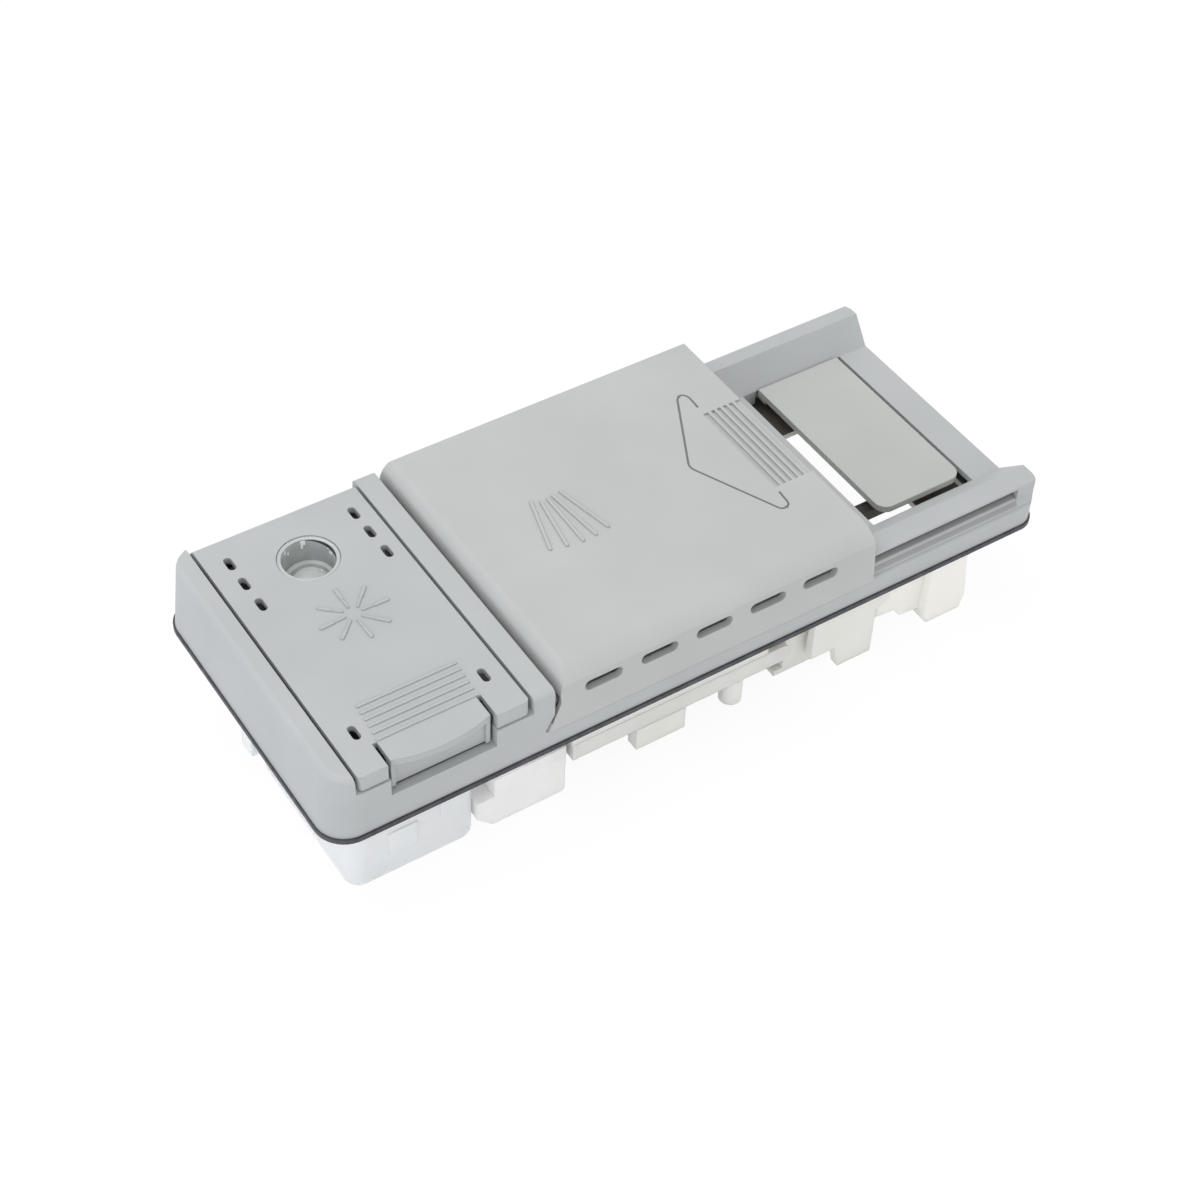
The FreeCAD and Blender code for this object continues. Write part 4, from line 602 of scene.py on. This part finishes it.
def sight_glass():
    """The clear cup, turned about its axis: rim, wall, ring groove and raised lens.

    The wall has a near-black band of painted shade at its top, deepest on its right, and small painted
    glints: bright faces that stand in for the studio's lights.
    """
    low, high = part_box("sight_glass")
    middle = (low + high) / 2
    outer = (high.x - low.x) / 2
    top = high.z
    # Radius and height over the rim of each ring, from under the floor round to the lens.
    profile = [(0, low.z - top), (outer, low.z - top), (outer, -0.00015), (outer - 0.00015, 0),
               (outer - 0.0009, 0), (outer - 0.0012, -0.0003), (outer - 0.00125, -0.0004),
               (outer - 0.0013, -0.0021), (outer - 0.00135, -0.0034), (outer - 0.0016, -0.008),
               (outer - 0.0018, -0.0083), (outer - 0.0028, -0.0084),
               (outer - 0.003, -0.0094), (outer - 0.0037, -0.0094), (outer - 0.0039, -0.0085),
               (outer - 0.0043, -0.0082), (0.0024, -0.0079), (0, -0.0078)]
    # The material of each row of faces, and the faces, by row and side, that are painted glints.
    wall, lit_floor_look, rim, edge, glint = range(5)
    looks = [wall, wall, rim, rim, rim, edge, wall, wall, wall, lit_floor_look, lit_floor_look,
             wall, wall, wall, lit_floor_look, lit_floor_look, lit_floor_look]
    glints = {(6, 14), (6, 15), (7, 15), (7, 22), (6, 24), (6, 3), (7, 2), (7, 1), (8, 46)}
    edge_ring, edge_depth, edge_turn = 6, 0.0016, 0.23
    sides = 72
    maker = bmesh.new()
    rings = []
    for i, (radius, height) in enumerate(profile):
        if radius == 0:
            rings.append([maker.verts.new((middle.x, middle.y, top + height))])
            continue
        ring = []
        for k in range(sides):
            turn = 2 * math.pi * k / sides
            drop = 0.0
            if i == edge_ring:
                drop = edge_depth * max(0.0, math.cos(turn + edge_turn)) ** 1.4
            ring.append(maker.verts.new((middle.x + radius * math.cos(turn),
                                         middle.y + radius * math.sin(turn), top + height - drop)))
        rings.append(ring)
    for i, (first, second) in enumerate(zip(rings, rings[1:])):
        for k in range(sides):
            after = (k + 1) % sides
            if len(first) == 1:
                corners = (first[0], second[after], second[k])
            elif len(second) == 1:
                corners = (first[k], first[after], second[0])
            else:
                corners = (first[k], first[after], second[after], second[k])
            face = maker.faces.new(corners)
            face.material_index = glint if (i, k) in glints else looks[i]
            face.smooth = True
    mesh = finish_mesh(maker, "sight_glass_cup")
    piece = new_object("sight_glass_cup", mesh, CLEAR, "rinse_flap")
    for look in (CLEAR_FLOOR_LIT, CLEAR_RIM, CLEAR_EDGE_SHADE, CLEAR_PAINTED_GLINT):
        mesh.materials.append(look)
    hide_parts("sight_glass")


def driver_recesses():
    """Cross recesses in the housing's screw heads, each of two thin black bars of painted shade."""
    maker = bmesh.new()
    reach, half_width, sunk, proud = 0.0019, 0.00035, -0.00004, 0.00002
    first_turn = 0.4
    heads = ((-57, 36), (-57, -16), (17.75, 39), (17.75, -34), (113.8, 30), (113.8, -30))
    for x, y in heads:
        for turn in (first_turn, first_turn + math.pi / 2):
            along = Vector((math.cos(turn), math.sin(turn), 0))
            side = Vector((-along.y, along.x, 0))
            centre = Vector((x / 1000, y / 1000, SCREW_TOP))
            corners = []
            for a, s in ((-1, -1), (1, -1), (1, 1), (-1, 1)):
                corners.append(centre + along * (reach * a) + side * (half_width * s))
            low = [maker.verts.new(c + Vector((0, 0, sunk))) for c in corners]
            high = [maker.verts.new(c + Vector((0, 0, proud))) for c in corners]
            maker.faces.new(low)
            maker.faces.new(reversed(high))
            for k in range(4):
                maker.faces.new((low[k], low[(k + 1) % 4], high[(k + 1) % 4], high[k]))
    new_object("screw_recesses", finish_mesh(maker, "screw_recesses"), BLACK, "frame")


lid_spring()
plunger_spring()
arrow_mark()
spray_mark()
star_mark()
sight_glass()
driver_recesses()


# Floor, light and camera

FLOOR_HALF = 3.0
# Strengths for the rays that see the white background, and the sky's for the light that it gives.
FLOOR_WHITE, SKY_WHITE, SKY_LIGHT = 1.03, 1.02, 0.72
FLOOR_SHARE = 0.9  # the floor's white part for those rays; the rest takes the shadow
PICTURE = 1200  # width of the photograph, in pixels
SENSOR = 36  # millimetres


def sees_white(nodes, links):
    """1 for the rays that see the white background: the camera's, and those mirrored or let through."""
    path = nodes.new("ShaderNodeLightPath")
    result = path.outputs["Is Camera Ray"]
    for ray in ("Is Glossy Ray", "Is Transmission Ray"):
        either = nodes.new("ShaderNodeMath")
        either.operation = "MAXIMUM"
        links.new(result, either.inputs[0])
        links.new(path.outputs[ray], either.inputs[1])
        result = either.outputs[0]
    return result


def floor():
    """A pale floor that is white to the camera and keeps the part's shadow."""
    maker = bmesh.new()
    corners = [(-FLOOR_HALF, -FLOOR_HALF, 0), (FLOOR_HALF, -FLOOR_HALF, 0),
               (FLOOR_HALF, FLOOR_HALF, 0), (-FLOOR_HALF, FLOOR_HALF, 0)]
    maker.faces.new([maker.verts.new(corner) for corner in corners])
    mesh = finish_mesh(maker, "floor", turn_out=False)
    material, nodes, links, shader = start_material("floor_white")
    shader.inputs["Base Color"].default_value = (0.85, 0.85, 0.85, 1)
    shader.inputs["Roughness"].default_value = 0.9
    glow = nodes.new("ShaderNodeEmission")
    glow.inputs["Color"].default_value = (1, 1, 1, 1)
    glow.inputs["Strength"].default_value = FLOOR_WHITE
    share = nodes.new("ShaderNodeMath")
    share.operation = "MULTIPLY"
    share.inputs[1].default_value = FLOOR_SHARE
    links.new(sees_white(nodes, links), share.inputs[0])
    mix = nodes.new("ShaderNodeMixShader")
    links.new(share.outputs[0], mix.inputs["Fac"])
    links.new(shader.outputs["BSDF"], mix.inputs[1])
    links.new(glow.outputs["Emission"], mix.inputs[2])
    links.new(mix.outputs["Shader"], nodes["Material Output"].inputs["Surface"])
    mesh.materials.append(material)
    piece = bpy.data.objects.new("floor", mesh)
    bpy.context.scene.collection.objects.link(piece)


def sky():
    """Even light from all round, and white behind the part."""
    world = bpy.data.worlds.new("sky")
    bpy.context.scene.world = world
    world.use_nodes = True
    nodes, links = world.node_tree.nodes, world.node_tree.links
    back = nodes["Background"]
    level = nodes.new("ShaderNodeMapRange")
    level.inputs["To Min"].default_value = SKY_LIGHT
    level.inputs["To Max"].default_value = SKY_WHITE
    links.new(sees_white(nodes, links), level.inputs["Value"])
    back.inputs["Color"].default_value = (1, 1, 1, 1)
    links.new(level.outputs["Result"], back.inputs["Strength"])


def lamp(name, place, aim, size, power, colour=(1, 1, 1)):
    """A square soft lamp that looks at a point."""
    light = bpy.data.lights.new(name, "AREA")
    light.color = colour
    light.shape = "SQUARE"
    light.size = size
    light.energy = power
    piece = bpy.data.objects.new(name, light)
    piece.location = place
    piece.rotation_euler = (Vector(aim) - Vector(place)).to_track_quat("-Z", "Y").to_euler()
    bpy.context.scene.collection.objects.link(piece)


def camera():
    """Seen as in the photograph, by the camera that was solved from its edges."""
    turn = Vector((2.306166763922302, -0.6663664856658067, 0.31177103956630864))  # rotation vector
    shift = Vector((3.707917587438936, -10.881278302246848, 685.8040683691108))  # millimetres
    focal = 2322.2163  # pixels
    rows = Matrix.Rotation(turn.length, 3, turn.normalized())
    columns = Matrix((rows[0], -rows[1], -rows[2])).transposed()
    centre = -(rows.transposed() @ shift) / 1000 + Vector((0, 0, SEAT))
    data = bpy.data.cameras.new("camera")
    data.lens = SENSOR * focal / PICTURE
    data.sensor_width = SENSOR
    data.clip_start = 0.01
    piece = bpy.data.objects.new("camera", data)
    piece.matrix_world = Matrix.Translation(centre) @ columns.to_4x4()
    bpy.context.scene.collection.objects.link(piece)
    bpy.context.scene.camera = piece


floor()
sky()
# Name, place, what it looks at, width, watts, colour.
lamp("key", (-0.28, 0.3, 1.1), (0, 0, 0.03), 0.8, 4.6)
lamp("fill", (0.6, -0.9, 0.7), (0, 0, 0.03), 0.9, 1.15, (1.0, 0.98, 0.93))
lamp("low_near", (0.1, -1.1, 0.12), (0, 0, 0.01), 0.7, 0.95, (1.0, 0.97, 0.92))
lamp("low_left", (-1.1, -0.35, 0.2), (0, 0, 0.02), 0.6, 2.9, (0.84, 0.91, 1.0))
camera()
bpy.context.scene.view_settings.view_transform = "Standard"
